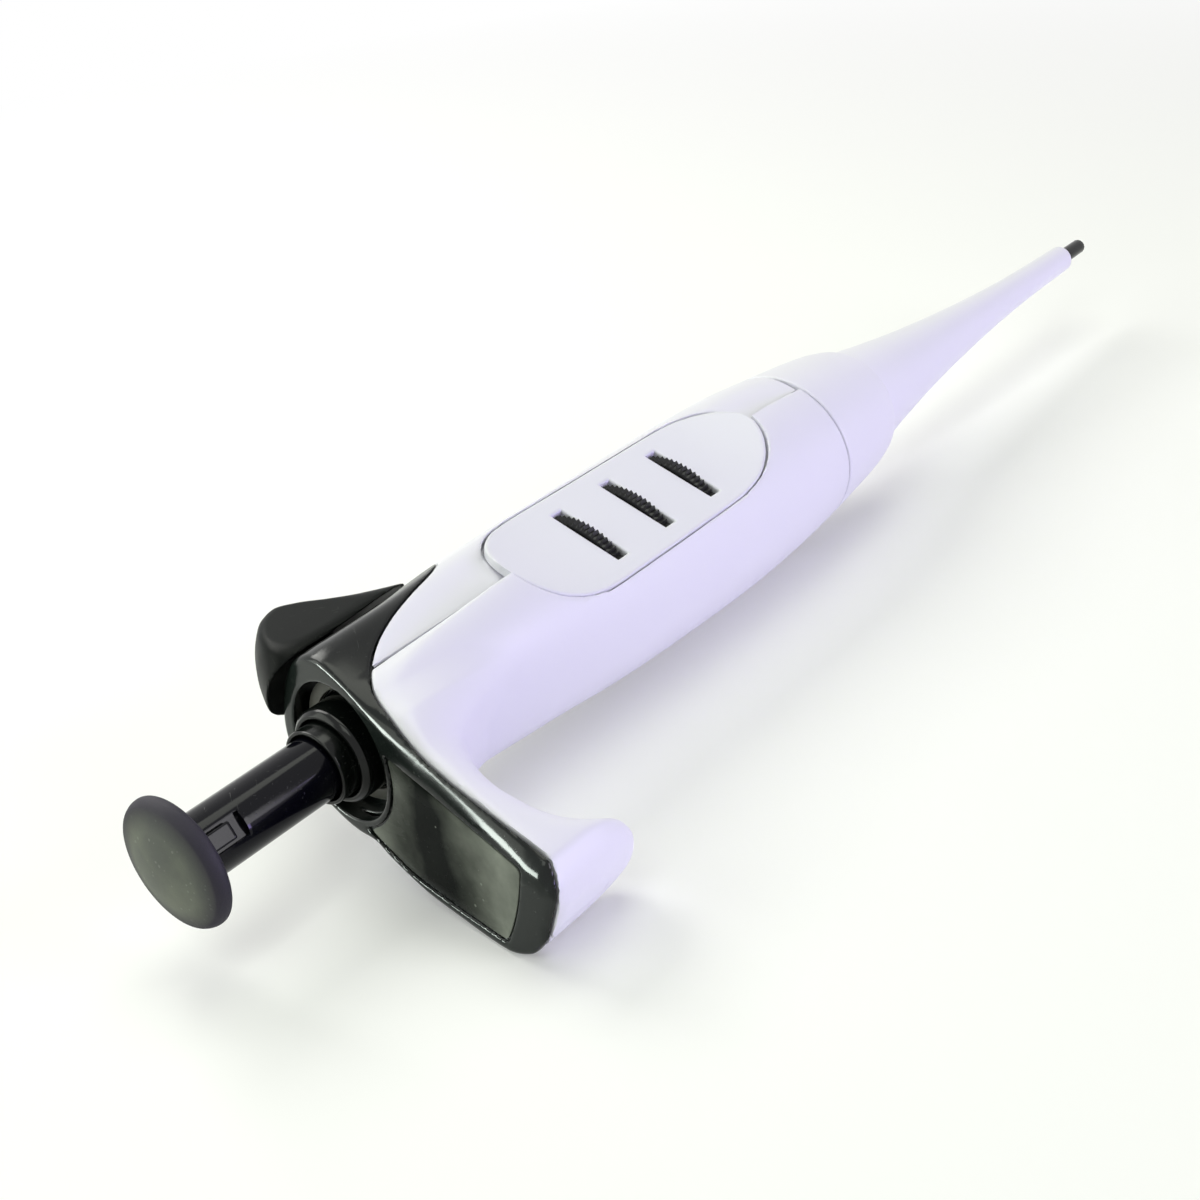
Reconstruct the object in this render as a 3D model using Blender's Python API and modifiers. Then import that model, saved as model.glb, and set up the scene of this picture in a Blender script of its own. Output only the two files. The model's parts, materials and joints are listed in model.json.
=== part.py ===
"""Hand-held single-channel micropipette, lying on its back. Metres, +Z up.

Every piece is drawn in the pipette's own frame: x runs along the plunger's axis from the
push button's rim to the nozzle, -y is the finger hook's side and +z is the dial panel's side.
One empty then rolls the whole pipette about x until the finger hook's end touches the surface
that the grip lies on, and sets the origin below the middle of the box round it.
"""

import math

import bmesh
import bpy
import numpy as np
from mathutils import Matrix, Vector

MM = 0.001

# Clearances
GAP = 0.3 * MM
SLIDE_GAP = 0.3 * MM
SEAM = 0.3 * MM
SNUG = 0.15 * MM

# How far cutting shapes run past what they cut, and the size that empties are drawn at
OVERCUT = 1.0 * MM
FAR = 60.0 * MM
HANDLE_SIZE = 10.0 * MM

# Strokes
ASPIRATE_STROKE = 14.0 * MM
BLOWOUT_STROKE = 3.0 * MM
EJECT_STROKE = 7.0 * MM

# Push button
BUTTON_RADIUS = 9.26 * MM
BUTTON_DOME = 2.0 * MM
BUTTON_FACE_DROP = 0.4 * MM
BUTTON_FACE_EDGE = 0.1 * MM
BUTTON_FACE_RADIUS = 8.4 * MM
BUTTON_EDGE = 0.5 * MM
BUTTON_RIM = 1.35 * MM
BUTTON_BACK = 3.2 * MM
BUTTON_NECK_RADIUS = 5.3 * MM
SPIGOT_RADIUS = 3.2 * MM
SPIGOT_START = 0.9 * MM

# Stem and what guides it
STEM_RADIUS = 4.58 * MM
STEM_FLANGE_RADIUS = 5.6 * MM
STEM_FLANGE_LENGTH = 3.0 * MM
STEM_SOCKET_DEPTH = 7.2 * MM
BUSH_START = 24.0 * MM
BUSH_LENGTH = 22.7 * MM
BUSH_WALL = 0.62 * MM
COLLAR_START = 26.6 * MM
COLLAR_WALL = 1.2 * MM
COLLAR_FLANGE_RADIUS = 9.0 * MM
COLLAR_FLANGE_LENGTH = 1.5 * MM
RING_EDGE = 0.25 * MM
LATCH_ANGLE = math.radians(38)
LATCH_LENGTH = 4.2 * MM
LATCH_WIDTH = 3.2 * MM
LATCH_HEIGHT = 0.75 * MM
NOTCH_DEPTH = 1.0 * MM
NOTCH_LENGTH = 5.2 * MM
NOTCH_WIDTH = 4.4 * MM

# Top cap
CAP_TOP = 28.4 * MM
CAP_SLOPE = 0.137
RECESS_RADIUS = 10.0 * MM
RECESS_DEPTH = 4.6 * MM
CUP_WALL = 1.4 * MM
CAP_FLOOR = 1.5 * MM

# Label window: sunk below the cap's top, with front and back edges as (-y, z) pairs
WINDOW_SINK = 0.2 * MM
WINDOW_NEAR_WALL = 0.9 * MM
WINDOW_FAR_END = 34.8 * MM
WINDOW_PITCH = 4.5 * MM
WINDOW_FRONT = [
    (8.0 * MM, 6.9 * MM),
    (12.2 * MM, 7.3 * MM),
    (17.8 * MM, 8.0 * MM),
    (27.2 * MM, 8.9 * MM),
    (34.8 * MM, 9.6 * MM),
]
WINDOW_BACK = [
    (8.0 * MM, -8.6 * MM),
    (14.6 * MM, -8.7 * MM),
    (23.2 * MM, -7.2 * MM),
    (31.3 * MM, -5.0 * MM),
    (34.8 * MM, -4.0 * MM),
]

# Dial panel and wheels, with how far the wheels show above the panel
WHEEL_COUNT = 3
WHEEL_FIRST = 78.8 * MM
WHEEL_PITCH = 11.45 * MM
WHEEL_RADIUS = 11.7 * MM
WHEEL_WIDTH = 1.7 * MM
WHEEL_TEETH = 80
WHEEL_SHOW = 1.12 * MM
TOOTH_DEPTH = 0.45 * MM
WHEEL_HUB_RADIUS = 6.6 * MM
WHEEL_CLEARANCE = 0.5 * MM
SLOT_SIDE_GAP = 0.25 * MM
SLOT_HALF_LENGTH = 6.4 * MM
PANEL_START = 59.3 * MM
PANEL_END = 118.8 * MM
PANEL_FLAT_START = 72.0 * MM
PANEL_FLAT_END = 105.0 * MM
PANEL_HEIGHT = WHEEL_RADIUS - WHEEL_SHOW
PANEL_THICKNESS = 1.6 * MM
PANEL_POINTS = 30
PANEL_PITCH = 2.0 * MM

# How far the grip's skin lies outside the wheels: about the first and the last of them, and
# at its back also above and below them, over the strip
SIDE_COVER = 3.2 * MM
SIDE_COVER_LAST = 3.35 * MM
FRONT_COVER = 2.5 * MM
FRONT_COVER_LAST = 2.2 * MM
BACK_COVER_ABOVE = 1.6 * MM
BACK_COVER = 4.0 * MM
BACK_COVER_LAST = 5.4 * MM
BACK_COVER_BELOW = 4.8 * MM

# Outer shape of the grip: (x, value) pairs along the axis
HALF_WIDTH = [
    (20.0 * MM, 12.5 * MM),
    (33.0 * MM, 12.5 * MM),
    (44.0 * MM, 12.9 * MM),
    (59.0 * MM, 14.1 * MM),
    (83.0 * MM, WHEEL_RADIUS + SIDE_COVER),
    (107.0 * MM, WHEEL_RADIUS + SIDE_COVER_LAST),
    (121.0 * MM, 14.6 * MM),
    (133.4 * MM, 13.6 * MM),
    (142.0 * MM, 12.7 * MM),
    (148.0 * MM, 11.9 * MM),
    (151.5 * MM, 11.1 * MM),
    (153.8 * MM, 10.1 * MM),
]
FRONT_HEIGHT = [
    (20.0 * MM, 11.9 * MM),
    (28.0 * MM, 12.4 * MM),
    (33.4 * MM, 13.4 * MM),
    (46.0 * MM, 14.2 * MM),
    (59.3 * MM, 14.9 * MM),
    (83.0 * MM, WHEEL_RADIUS + FRONT_COVER),
    (107.0 * MM, WHEEL_RADIUS + FRONT_COVER_LAST),
    (121.0 * MM, 13.8 * MM),
    (133.4 * MM, 12.75 * MM),
    (142.0 * MM, 11.9 * MM),
    (148.0 * MM, 11.2 * MM),
    (153.8 * MM, 10.0 * MM),
]
BACK_DEPTH = [
    (20.0 * MM, 11.0 * MM),
    (44.0 * MM, 12.0 * MM),
    (59.0 * MM, WHEEL_RADIUS + BACK_COVER_ABOVE),
    (83.0 * MM, WHEEL_RADIUS + BACK_COVER),
    (107.0 * MM, WHEEL_RADIUS + BACK_COVER_LAST),
    (121.0 * MM, WHEEL_RADIUS + BACK_COVER_BELOW),
    (133.4 * MM, 15.1 * MM),
    (142.0 * MM, 13.4 * MM),
    (148.0 * MM, 12.2 * MM),
    (153.8 * MM, 10.2 * MM),
]
SQUARENESS = [
    (20.0 * MM, 2.7),
    (33.0 * MM, 2.5),
    (46.0 * MM, 2.2),
    (60.0 * MM, 2.05),
    (155.0 * MM, 2.0),
]
GRIP_END = 133.4 * MM
COLLAR_ROUND_START = 147.5 * MM
COLLAR_END = 153.8 * MM
RING_POINTS = 32
ARM_POINTS = 24
SHELL_START = 20.0 * MM
RING_PITCH = 9.0 * MM
RING_PITCH_FINE = 4.5 * MM

# Arm and finger hook: (-y, value) pairs outward from the axis
HOOK_UNDERSIDE = [
    (0.0 * MM, 78.0 * MM),
    (6.0 * MM, 70.0 * MM),
    (10.0 * MM, 60.0 * MM),
    (13.0 * MM, 50.5 * MM),
    (15.0 * MM, 45.0 * MM),
    (18.0 * MM, 39.6 * MM),
    (21.0 * MM, 36.8 * MM),
    (24.0 * MM, 35.6 * MM),
    (28.0 * MM, 35.6 * MM),
    (32.0 * MM, 37.0 * MM),
    (34.5 * MM, 39.2 * MM),
    (36.3 * MM, 41.8 * MM),
    (37.5 * MM, 43.4 * MM),
    (38.5 * MM, 43.9 * MM),
    (39.5 * MM, 43.0 * MM),
    (40.4 * MM, 40.0 * MM),
    (40.8 * MM, 36.5 * MM),
]
HOOK_FRONT = [
    (0.0 * MM, 11.0 * MM),
    (12.0 * MM, 11.9 * MM),
    (33.0 * MM, 12.4 * MM),
    (36.6 * MM, 12.2 * MM),
    (38.4 * MM, 11.0 * MM),
    (39.8 * MM, 9.4 * MM),
    (40.8 * MM, 7.0 * MM),
]
HOOK_BACK = [
    (0.0 * MM, -10.6 * MM),
    (10.0 * MM, -9.9 * MM),
    (18.0 * MM, -9.6 * MM),
    (27.0 * MM, -7.7 * MM),
    (35.0 * MM, -5.4 * MM),
    (38.4 * MM, -2.6 * MM),
    (40.0 * MM, 0.6 * MM),
    (40.8 * MM, 3.6 * MM),
]
HOOK_SQUARENESS = [
    (0.0 * MM, 2.0),
    (10.0 * MM, 2.2),
    (16.0 * MM, 2.7),
    (24.0 * MM, 3.4),
    (36.0 * MM, 3.4),
    (40.8 * MM, 2.6),
]
ARM_TOP = 14.0 * MM
ARM_RINGS = (4, 8, 11, 13, 15, 17, 19, 21.5, 24, 27, 30, 32.5, 34.5, 36, 37.2, 38.2, 39, 39.7, 40.3, 40.8)

# Where the cap meets the white housing, seen from the front: (y, x) pairs
CAP_EDGE = [
    (-44.0 * MM, 23.4 * MM),
    (-40.8 * MM, 24.0 * MM),
    (-39.6 * MM, 24.7 * MM),
    (-38.2 * MM, 25.4 * MM),
    (-36.8 * MM, 25.8 * MM),
    (-32.5 * MM, 25.9 * MM),
    (-25.7 * MM, 26.3 * MM),
    (-18.4 * MM, 27.0 * MM),
    (-10.6 * MM, 28.2 * MM),
    (-6.5 * MM, 29.2 * MM),
    (-2.9 * MM, 30.5 * MM),
    (0.2 * MM, 33.2 * MM),
    (2.9 * MM, 37.0 * MM),
    (5.1 * MM, 41.8 * MM),
    (6.9 * MM, 47.4 * MM),
    (8.6 * MM, 53.6 * MM),
    (10.6 * MM, 57.2 * MM),
    (13.0 * MM, 58.2 * MM),
    (24.0 * MM, 58.4 * MM),
]
CAP_EDGE_POINTS = 40

# Chambers inside the grip
UPPER_CHAMBER_RADIUS = 10.6 * MM
LOWER_CHAMBER_RADIUS = 10.8 * MM
RIB = 1.8 * MM
CORE_WALL = 1.3 * MM
STRIP_MARGIN = 2.0 * MM
CHANNEL_TOP = 8.0 * MM

# Rod, piston and springs
ROD_RADIUS = 2.1 * MM
ROD_SHOULDER = 4.0 * MM
PISTON_RADIUS = 1.5 * MM
PISTON_LENGTH = 27.0 * MM
PLATE_RADIUS = 5.2 * MM
PLATE_THICKNESS = 1.3 * MM
PLATE_START = 115.0 * MM
NUT_WALL = 1.6 * MM
SPRING_WIRE = 0.45 * MM
PISTON_SPRING_RADIUS = 4.6 * MM
PISTON_SPRING_TURNS = 7
BLOWOUT_SPRING_RADIUS = 4.9 * MM
BLOWOUT_SPRING_TURNS = 3
EJECTOR_SPRING_TURNS = 5
COIL_POINTS = 8
COIL_CLOSING = 0.4

# Ejector: lobe stations are (x, outer y, middle z, half height)
LOBE = [
    (27.4 * MM, 12.2 * MM, 1.4 * MM, 2.2 * MM),
    (28.7 * MM, 14.9 * MM, 1.2 * MM, 3.6 * MM),
    (30.6 * MM, 18.1 * MM, 1.0 * MM, 4.9 * MM),
    (33.0 * MM, 21.0 * MM, 0.9 * MM, 5.8 * MM),
    (36.0 * MM, 23.1 * MM, 0.8 * MM, 6.3 * MM),
    (38.6 * MM, 23.8 * MM, 0.8 * MM, 6.4 * MM),
    (41.2 * MM, 22.4 * MM, 0.8 * MM, 6.2 * MM),
    (44.2 * MM, 19.6 * MM, 0.8 * MM, 5.9 * MM),
    (47.5 * MM, 17.2 * MM, 0.8 * MM, 5.5 * MM),
    (51.5 * MM, 15.5 * MM, 0.8 * MM, 4.9 * MM),
    (55.5 * MM, 14.6 * MM, 0.8 * MM, 4.0 * MM),
]
LOBE_POINTS = 24
LOBE_SQUARENESS = 2.0
LOBE_ROOT = 8.0 * MM
LOBE_GAP = 0.4 * MM
FRAME_RING_START = 38.0 * MM
FRAME_RING_LENGTH = 2.5 * MM
FRAME_RING_INNER = 7.5 * MM
FRAME_LUG_HEIGHT = 6.0 * MM
FRAME_LUG_REACH = 16.0 * MM
FRAME_LUG_MIDDLE = 1.5 * MM
FRAME_FOOT_REACH = 2.9 * MM
STRIP_INSET = 1.7 * MM
STRIP_THICKNESS = 1.0 * MM
STRIP_WIDTH = 6.0 * MM
STRIP_RAMP_START = 61.0 * MM
STRIP_RAMP_END = 70.3 * MM

# Ejector sleeve: outer radius along its taper
SLEEVE_TAPER = [
    (155.5 * MM, 9.0 * MM),
    (160.0 * MM, 8.5 * MM),
    (165.0 * MM, 7.75 * MM),
    (175.0 * MM, 6.39 * MM),
    (185.0 * MM, 5.29 * MM),
    (195.0 * MM, 4.39 * MM),
    (205.0 * MM, 3.65 * MM),
    (215.0 * MM, 3.12 * MM),
    (225.0 * MM, 2.82 * MM),
    (235.4 * MM, 2.62 * MM),
]
SLEEVE_START = 118.0 * MM
SLEEVE_FLANGE_LENGTH = 2.5 * MM
SLEEVE_FLANGE_RADIUS = 10.3 * MM
SLEEVE_WALL = 0.8 * MM
SLEEVE_LIP = 0.8 * MM
SLEEVE_LIP_ROUND = 0.3 * MM
SLEEVE_PITCH = 11.5 * MM

# Nozzle shaft
NOZZLE_END = 244.8 * MM
NOZZLE_RADIUS = 1.45 * MM
NOZZLE_CLEARANCE = 0.45 * MM
NOZZLE_BORE_RADIUS = 0.5 * MM
NOZZLE_ROUND = 0.6 * MM
NOZZLE_TAPER_START = 149.5 * MM
NOZZLE_PITCH = 12.5 * MM
BORE_MARGIN = 1.0 * MM
NOZZLE_HEAD_WALL = 1.6 * MM
NOZZLE_FLANGE_RADIUS = 8.6 * MM
NOZZLE_FLANGE_LENGTH = 2.6 * MM
NOZZLE_FLOOR = 143.0 * MM
SEAL_LENGTH = 1.6 * MM
SEAL_WALL = 1.1 * MM
RETAINER_WALL = 0.8 * MM

# Roundness of turned pieces
FINE_POINTS = 32
MEDIUM_POINTS = 24
COARSE_POINTS = 16
BUTTON_POINTS = 28
DOME_STEPS = 5
SEAL_STEPS = 6

# Colours and finish: base colour, roughness, metallic
WHITE = ((0.80, 0.79, 0.84), 0.42, 0.0)
BLACK = ((0.012, 0.013, 0.013), 0.14, 0.0)
SATIN_BLACK = ((0.025, 0.028, 0.026), 0.38, 0.0)
SOFT_GREY = ((0.13, 0.135, 0.12), 0.85, 0.0)
WINDOW_GREY = ((0.16, 0.17, 0.155), 0.3, 0.0)
STEEL = ((0.60, 0.61, 0.63), 0.28, 1.0)
AMBER = ((0.62, 0.50, 0.28), 0.5, 0.0)

# Derived places along the axis
STEM_START = BUTTON_BACK + GAP
BUSH_RADIUS = STEM_RADIUS + SLIDE_GAP + BUSH_WALL
BUSH_END = BUSH_START + BUSH_LENGTH
COLLAR_RADIUS = BUSH_RADIUS + GAP + COLLAR_WALL
FULL_STROKE = ASPIRATE_STROKE + BLOWOUT_STROKE
FLANGE_START = BUSH_END + GAP
STEM_END = FLANGE_START + STEM_FLANGE_LENGTH
BLOWOUT_START = STEM_END + ASPIRATE_STROKE + GAP
ROD_START = STEM_END - STEM_SOCKET_DEPTH + GAP
RECESS_FLOOR = CAP_TOP + RECESS_DEPTH
CAP_FLOOR_END = RECESS_FLOOR + CAP_FLOOR
COLLAR_FLANGE_START = CAP_FLOOR_END + GAP
COLLAR_FLANGE_END = COLLAR_FLANGE_START + COLLAR_FLANGE_LENGTH
WHEEL_BAY_RADIUS = WHEEL_RADIUS + WHEEL_CLEARANCE
HUB_LENGTH = WHEEL_PITCH - 2 * GAP
WHEEL_BAY_START = WHEEL_FIRST - HUB_LENGTH / 2 - GAP
WHEEL_BAY_END = WHEEL_FIRST + (WHEEL_COUNT - 1) * WHEEL_PITCH + HUB_LENGTH / 2 + GAP
UPPER_CHAMBER_END = WHEEL_BAY_START - RIB
LOWER_CHAMBER_START = WHEEL_BAY_END + RIB
NUT_START = STEM_END + FULL_STROKE + GAP
NOZZLE_START = LOWER_CHAMBER_START + GAP
CORE_BORE = ROD_RADIUS + SLIDE_GAP
CORE_RADIUS = CORE_BORE + CORE_WALL
SLEEVE_INNER = SLEEVE_TAPER[0][1] - SLEEVE_WALL
NOZZLE_HEAD_RADIUS = SLEEVE_INNER - NOZZLE_CLEARANCE
PLATE_END = PLATE_START + PLATE_THICKNESS
RETAINER_START = NOZZLE_FLOOR - SEAL_LENGTH - RETAINER_WALL - 2 * SNUG
PISTON_START = RETAINER_START - FULL_STROKE - GAP
PISTON_END = PISTON_START + PISTON_LENGTH
STRIP_UPPER = UPPER_CHAMBER_RADIUS - STRIP_INSET
STRIP_LOWER = WHEEL_BAY_RADIUS
EJECTOR_SPRING_RADIUS = STRIP_UPPER - GAP - SPRING_WIRE
FRAME_RING_END = FRAME_RING_START + FRAME_RING_LENGTH
STRIP_END = SLEEVE_START + SLEEVE_FLANGE_LENGTH

PARTS = "micropipette"
CUTTERS = "micropipette_cutters"
PLUNGER_PIECES = (
    "push_button",
    "button_latch",
    "plunger_stem",
    "piston_rod",
    "spring_plate",
    "piston",
)
EJECTOR_PIECES = ("ejector_lever", "ejector_frame", "ejector_sleeve")


def clear_scene():
    """Remove every object and collection that the file starts with."""
    for thing in list(bpy.data.objects):
        bpy.data.objects.remove(thing, do_unlink=True)
    for group in list(bpy.data.collections):
        bpy.data.collections.remove(group)


def collection(name):
    """The collection of that name, made when it is first asked for."""
    group = bpy.data.collections.get(name)
    if group is None:
        group = bpy.data.collections.new(name)
        bpy.context.scene.collection.children.link(group)
    return group


def through(pairs, place):
    """Value at `place` on a smooth curve through (place, value) pairs."""
    places = np.array([p for p, _ in pairs])
    values = np.array([v for _, v in pairs])
    steps = np.diff(places)
    rises = np.diff(values) / steps
    slopes = np.concatenate(([rises[0]], np.zeros(len(rises) - 1), [rises[-1]]))
    for i in range(1, len(rises)):
        if rises[i - 1] * rises[i] > 0:
            slopes[i] = 2 * rises[i - 1] * rises[i] / (rises[i - 1] + rises[i])
    place = min(max(place, places[0]), places[-1])
    i = min(int(np.searchsorted(places, place, side="right")) - 1, len(steps) - 1)
    t = (place - places[i]) / steps[i]
    start = (1 + 2 * t) * (1 - t) ** 2 * values[i] + t * (1 - t) ** 2 * steps[i] * slopes[i]
    end = t * t * (3 - 2 * t) * values[i + 1] + t * t * (t - 1) * steps[i] * slopes[i + 1]
    return float(start + end)


def stations(start, end, pitch):
    """Evenly spaced places from start to end, about `pitch` apart."""
    count = max(2, round((end - start) / pitch) + 1)
    return [float(v) for v in np.linspace(start, end, count)]


def rounded(angle, power):
    """Point of a unit superellipse at an angle."""
    c = math.cos(angle)
    s = math.sin(angle)
    return (
        math.copysign(abs(c) ** (2 / power), c),
        math.copysign(abs(s) ** (2 / power), s),
    )


def grip_ring(x, grow=0.0, shift=0.0):
    """The grip's outer cross-section at x, grown outward; drawn `shift` further along x."""
    half = through(HALF_WIDTH, x) + grow
    front = through(FRONT_HEIGHT, x) + grow
    back = through(BACK_DEPTH, x) + grow
    power = through(SQUARENESS, x)
    ring = []
    for i in range(RING_POINTS):
        across, up = rounded(2 * math.pi * i / RING_POINTS, power)
        ring.append((x + shift, half * across, up * (front if up > 0 else back)))
    return ring


def arm_ring(out):
    """The arm's cross-section at a distance `out` from the axis toward the hook."""
    under = through(HOOK_UNDERSIDE, out)
    front = through(HOOK_FRONT, out)
    back = through(HOOK_BACK, out)
    power = through(HOOK_SQUARENESS, out)
    ring = []
    for i in range(ARM_POINTS):
        along, up = rounded(2 * math.pi * i / ARM_POINTS, power)
        x = (ARM_TOP + under) / 2 + along * (under - ARM_TOP) / 2
        z = (front + back) / 2 + up * (front - back) / 2
        ring.append((x, -out, z))
    return ring


def panel_height(x):
    """Height of the dished panel's face at x: flat in the middle, rising to the grip's skin."""
    if x < PANEL_FLAT_START:
        span = PANEL_FLAT_START - PANEL_START
        rise = through(FRONT_HEIGHT, PANEL_START) - PANEL_HEIGHT
        return PANEL_HEIGHT + rise * ((PANEL_FLAT_START - x) / span) ** 2
    if x > PANEL_FLAT_END:
        span = PANEL_END - PANEL_FLAT_END
        rise = through(FRONT_HEIGHT, PANEL_END) - PANEL_HEIGHT
        return PANEL_HEIGHT + rise * ((x - PANEL_FLAT_END) / span) ** 2
    return PANEL_HEIGHT


def panel_half_width(x):
    """Half width of the panel at x, where its face meets the grip's skin."""
    power = through(SQUARENESS, x)
    level = min(1.0, panel_height(x) / through(FRONT_HEIGHT, x))
    return through(HALF_WIDTH, x) * (1 - level**power) ** (1 / power)


def finish(name, bm, colour=None, smooth_angle=35):
    """Turn a bmesh into an object whose faces point outward, in the pipette's frame."""
    bmesh.ops.remove_doubles(bm, verts=bm.verts, dist=0.001 * MM)
    if bm.calc_volume(signed=True) < 0:
        bmesh.ops.reverse_faces(bm, faces=bm.faces)
    mesh = bpy.data.meshes.new(name)
    bm.to_mesh(mesh)
    bm.free()
    return place(name, mesh, colour, smooth_angle)


def place(name, mesh, colour=None, smooth_angle=35):
    """Link a mesh as a piece of the pipette, or as a cutter where it has no colour."""
    thing = bpy.data.objects.new(name, mesh)
    if colour is None:
        collection(CUTTERS).objects.link(thing)
        thing.hide_render = True
        thing.display_type = "WIRE"
        return thing
    collection(PARTS).objects.link(thing)
    mesh.shade_smooth()
    mesh.set_sharp_from_angle(angle=math.radians(smooth_angle))
    mesh.materials.append(material(name, colour))
    return thing


def material(name, colour):
    """A Principled material of a base colour, roughness and metallic value."""
    base, roughness, metallic = colour
    made = bpy.data.materials.new(name)
    made.use_nodes = True
    shader = made.node_tree.nodes["Principled BSDF"]
    shader.inputs["Base Color"].default_value = (*base, 1.0)
    shader.inputs["Roughness"].default_value = roughness
    shader.inputs["Metallic"].default_value = metallic
    return made


def loft(name, rings, colour=None, smooth_angle=35):
    """A closed solid skinned over rings of equal count."""
    bm = bmesh.new()
    rows = [[bm.verts.new(p) for p in ring] for ring in rings]
    count = len(rows[0])
    for low, high in zip(rows, rows[1:]):
        for i in range(count):
            j = (i + 1) % count
            bm.faces.new((low[i], low[j], high[j], high[i]))
    bm.faces.new(list(reversed(rows[0])))
    bm.faces.new(rows[-1])
    return finish(name, bm, colour, smooth_angle)


def prism(name, outline, plane, low, high, colour=None):
    """A flat outline extruded along the axis that `plane` leaves out."""
    bm = bmesh.new()
    if plane == "xy":
        spots = [Vector((a, b, low)) for a, b in outline]
        push = Vector((0, 0, high - low))
    else:
        spots = [Vector((a, low, b)) for a, b in outline]
        push = Vector((0, high - low, 0))
    face = bm.faces.new([bm.verts.new(s) for s in spots])
    made = bmesh.ops.extrude_face_region(bm, geom=[face])
    moved = [v for v in made["geom"] if isinstance(v, bmesh.types.BMVert)]
    bmesh.ops.translate(bm, verts=moved, vec=push)
    bmesh.ops.recalc_face_normals(bm, faces=bm.faces)
    return finish(name, bm, colour)


def box(name, low, high, colour=None):
    """An upright box between two corners."""
    bm = bmesh.new()
    bmesh.ops.create_cube(bm, size=1.0)
    size = Vector(high) - Vector(low)
    middle = (Vector(high) + Vector(low)) / 2
    bmesh.ops.transform(bm, matrix=Matrix.Translation(middle) @ Matrix.Diagonal((*size, 1)), verts=bm.verts)
    return finish(name, bm, colour)


def rod(name, radius, start, end, count=MEDIUM_POINTS, colour=None):
    """A plain cylinder on the plunger's axis."""
    bm = bmesh.new()
    bmesh.ops.create_cone(
        bm, cap_ends=True, segments=count, radius1=radius, radius2=radius, depth=end - start
    )
    turn = Matrix.Translation(((start + end) / 2, 0, 0)) @ Matrix.Rotation(math.pi / 2, 4, "Y")
    bmesh.ops.transform(bm, matrix=turn, verts=bm.verts)
    return finish(name, bm, colour)


def turned(name, outline, colour, count=MEDIUM_POINTS, closed=False):
    """A Screw-turned piece on the plunger's axis, from an (x, radius) outline.

    An open outline starts and ends on the axis. A closed one goes round the wall of a ring.
    """
    area = sum(a[0] * b[1] - b[0] * a[1] for a, b in zip(outline, outline[1:] + outline[:1]))
    points = list(outline) if area > 0 else list(reversed(outline))
    mesh = bpy.data.meshes.new(name)
    edges = [(i, i + 1) for i in range(len(points) - 1)]
    if closed:
        edges.append((len(points) - 1, 0))
    mesh.from_pydata([(radius, 0, x) for x, radius in points], edges, [])
    thing = bpy.data.objects.new(name, mesh)
    collection(PARTS).objects.link(thing)
    thing.rotation_euler = (0, math.pi / 2, 0)
    screw = thing.modifiers.new("turn", "SCREW")
    screw.angle = 2 * math.pi
    screw.steps = count
    screw.render_steps = count
    screw.use_merge_vertices = True
    screw.merge_threshold = 0.00001
    screw.use_smooth_shade = True
    mesh.materials.append(material(name, colour))
    return thing


def combine(target, tool, operation):
    """Add an exact Boolean of `tool` to `target`."""
    change = target.modifiers.new(tool.name, "BOOLEAN")
    change.operation = operation
    change.object = tool
    return target


def cut(target, *tools):
    """Cut each tool out of the target."""
    for tool in tools:
        combine(target, tool, "DIFFERENCE")
    return target


def bake(thing):
    """The evaluated mesh of an object, as a mesh of its own."""
    bpy.context.view_layer.update()
    graph = bpy.context.evaluated_depsgraph_get()
    return bpy.data.meshes.new_from_object(thing.evaluated_get(graph))


def coil(name, radius, turns, start, end, colour=STEEL):
    """A compression spring on the axis, with its wire between start and end."""
    curve = bpy.data.curves.new(name, "CURVE")
    curve.dimensions = "3D"
    curve.bevel_depth = SPRING_WIRE
    curve.bevel_resolution = 2
    curve.use_fill_caps = True
    count = turns * COIL_POINTS + 1
    line = curve.splines.new("POLY")
    line.points.add(count - 1)
    low = start + SPRING_WIRE
    high = end - SPRING_WIRE
    for i, point in enumerate(line.points):
        share = i / (count - 1)
        eased = share - COIL_CLOSING * math.sin(2 * math.pi * share) / (2 * math.pi)
        angle = 2 * math.pi * turns * share
        x = low + (high - low) * eased
        point.co = (x, radius * math.cos(angle), radius * math.sin(angle), 1)
    thing = bpy.data.objects.new(name, curve)
    collection(PARTS).objects.link(thing)
    curve.materials.append(material(name, colour))
    return thing


def smooth_edge(start, end, count):
    """Points of the cap's lower edge between two y values, as (x, y)."""
    return [(through(CAP_EDGE, y), y) for y in np.linspace(start, end, count)]


def cap_top(y):
    """The x of the cap's sloping top face at y."""
    return CAP_TOP + CAP_SLOPE * y


def make_shell():
    """Outer skin of cap and housing together: the grip's loft joined with the arm's."""
    places = stations(SHELL_START, PANEL_START, RING_PITCH_FINE)
    places += stations(PANEL_START, GRIP_END, RING_PITCH)[1:]
    grip = loft("grip_form", [grip_ring(x) for x in places])
    arm = loft("arm_form", [arm_ring(out * MM) for out in ARM_RINGS])
    combine(grip, arm, "UNION")
    return bake(grip)


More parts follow.
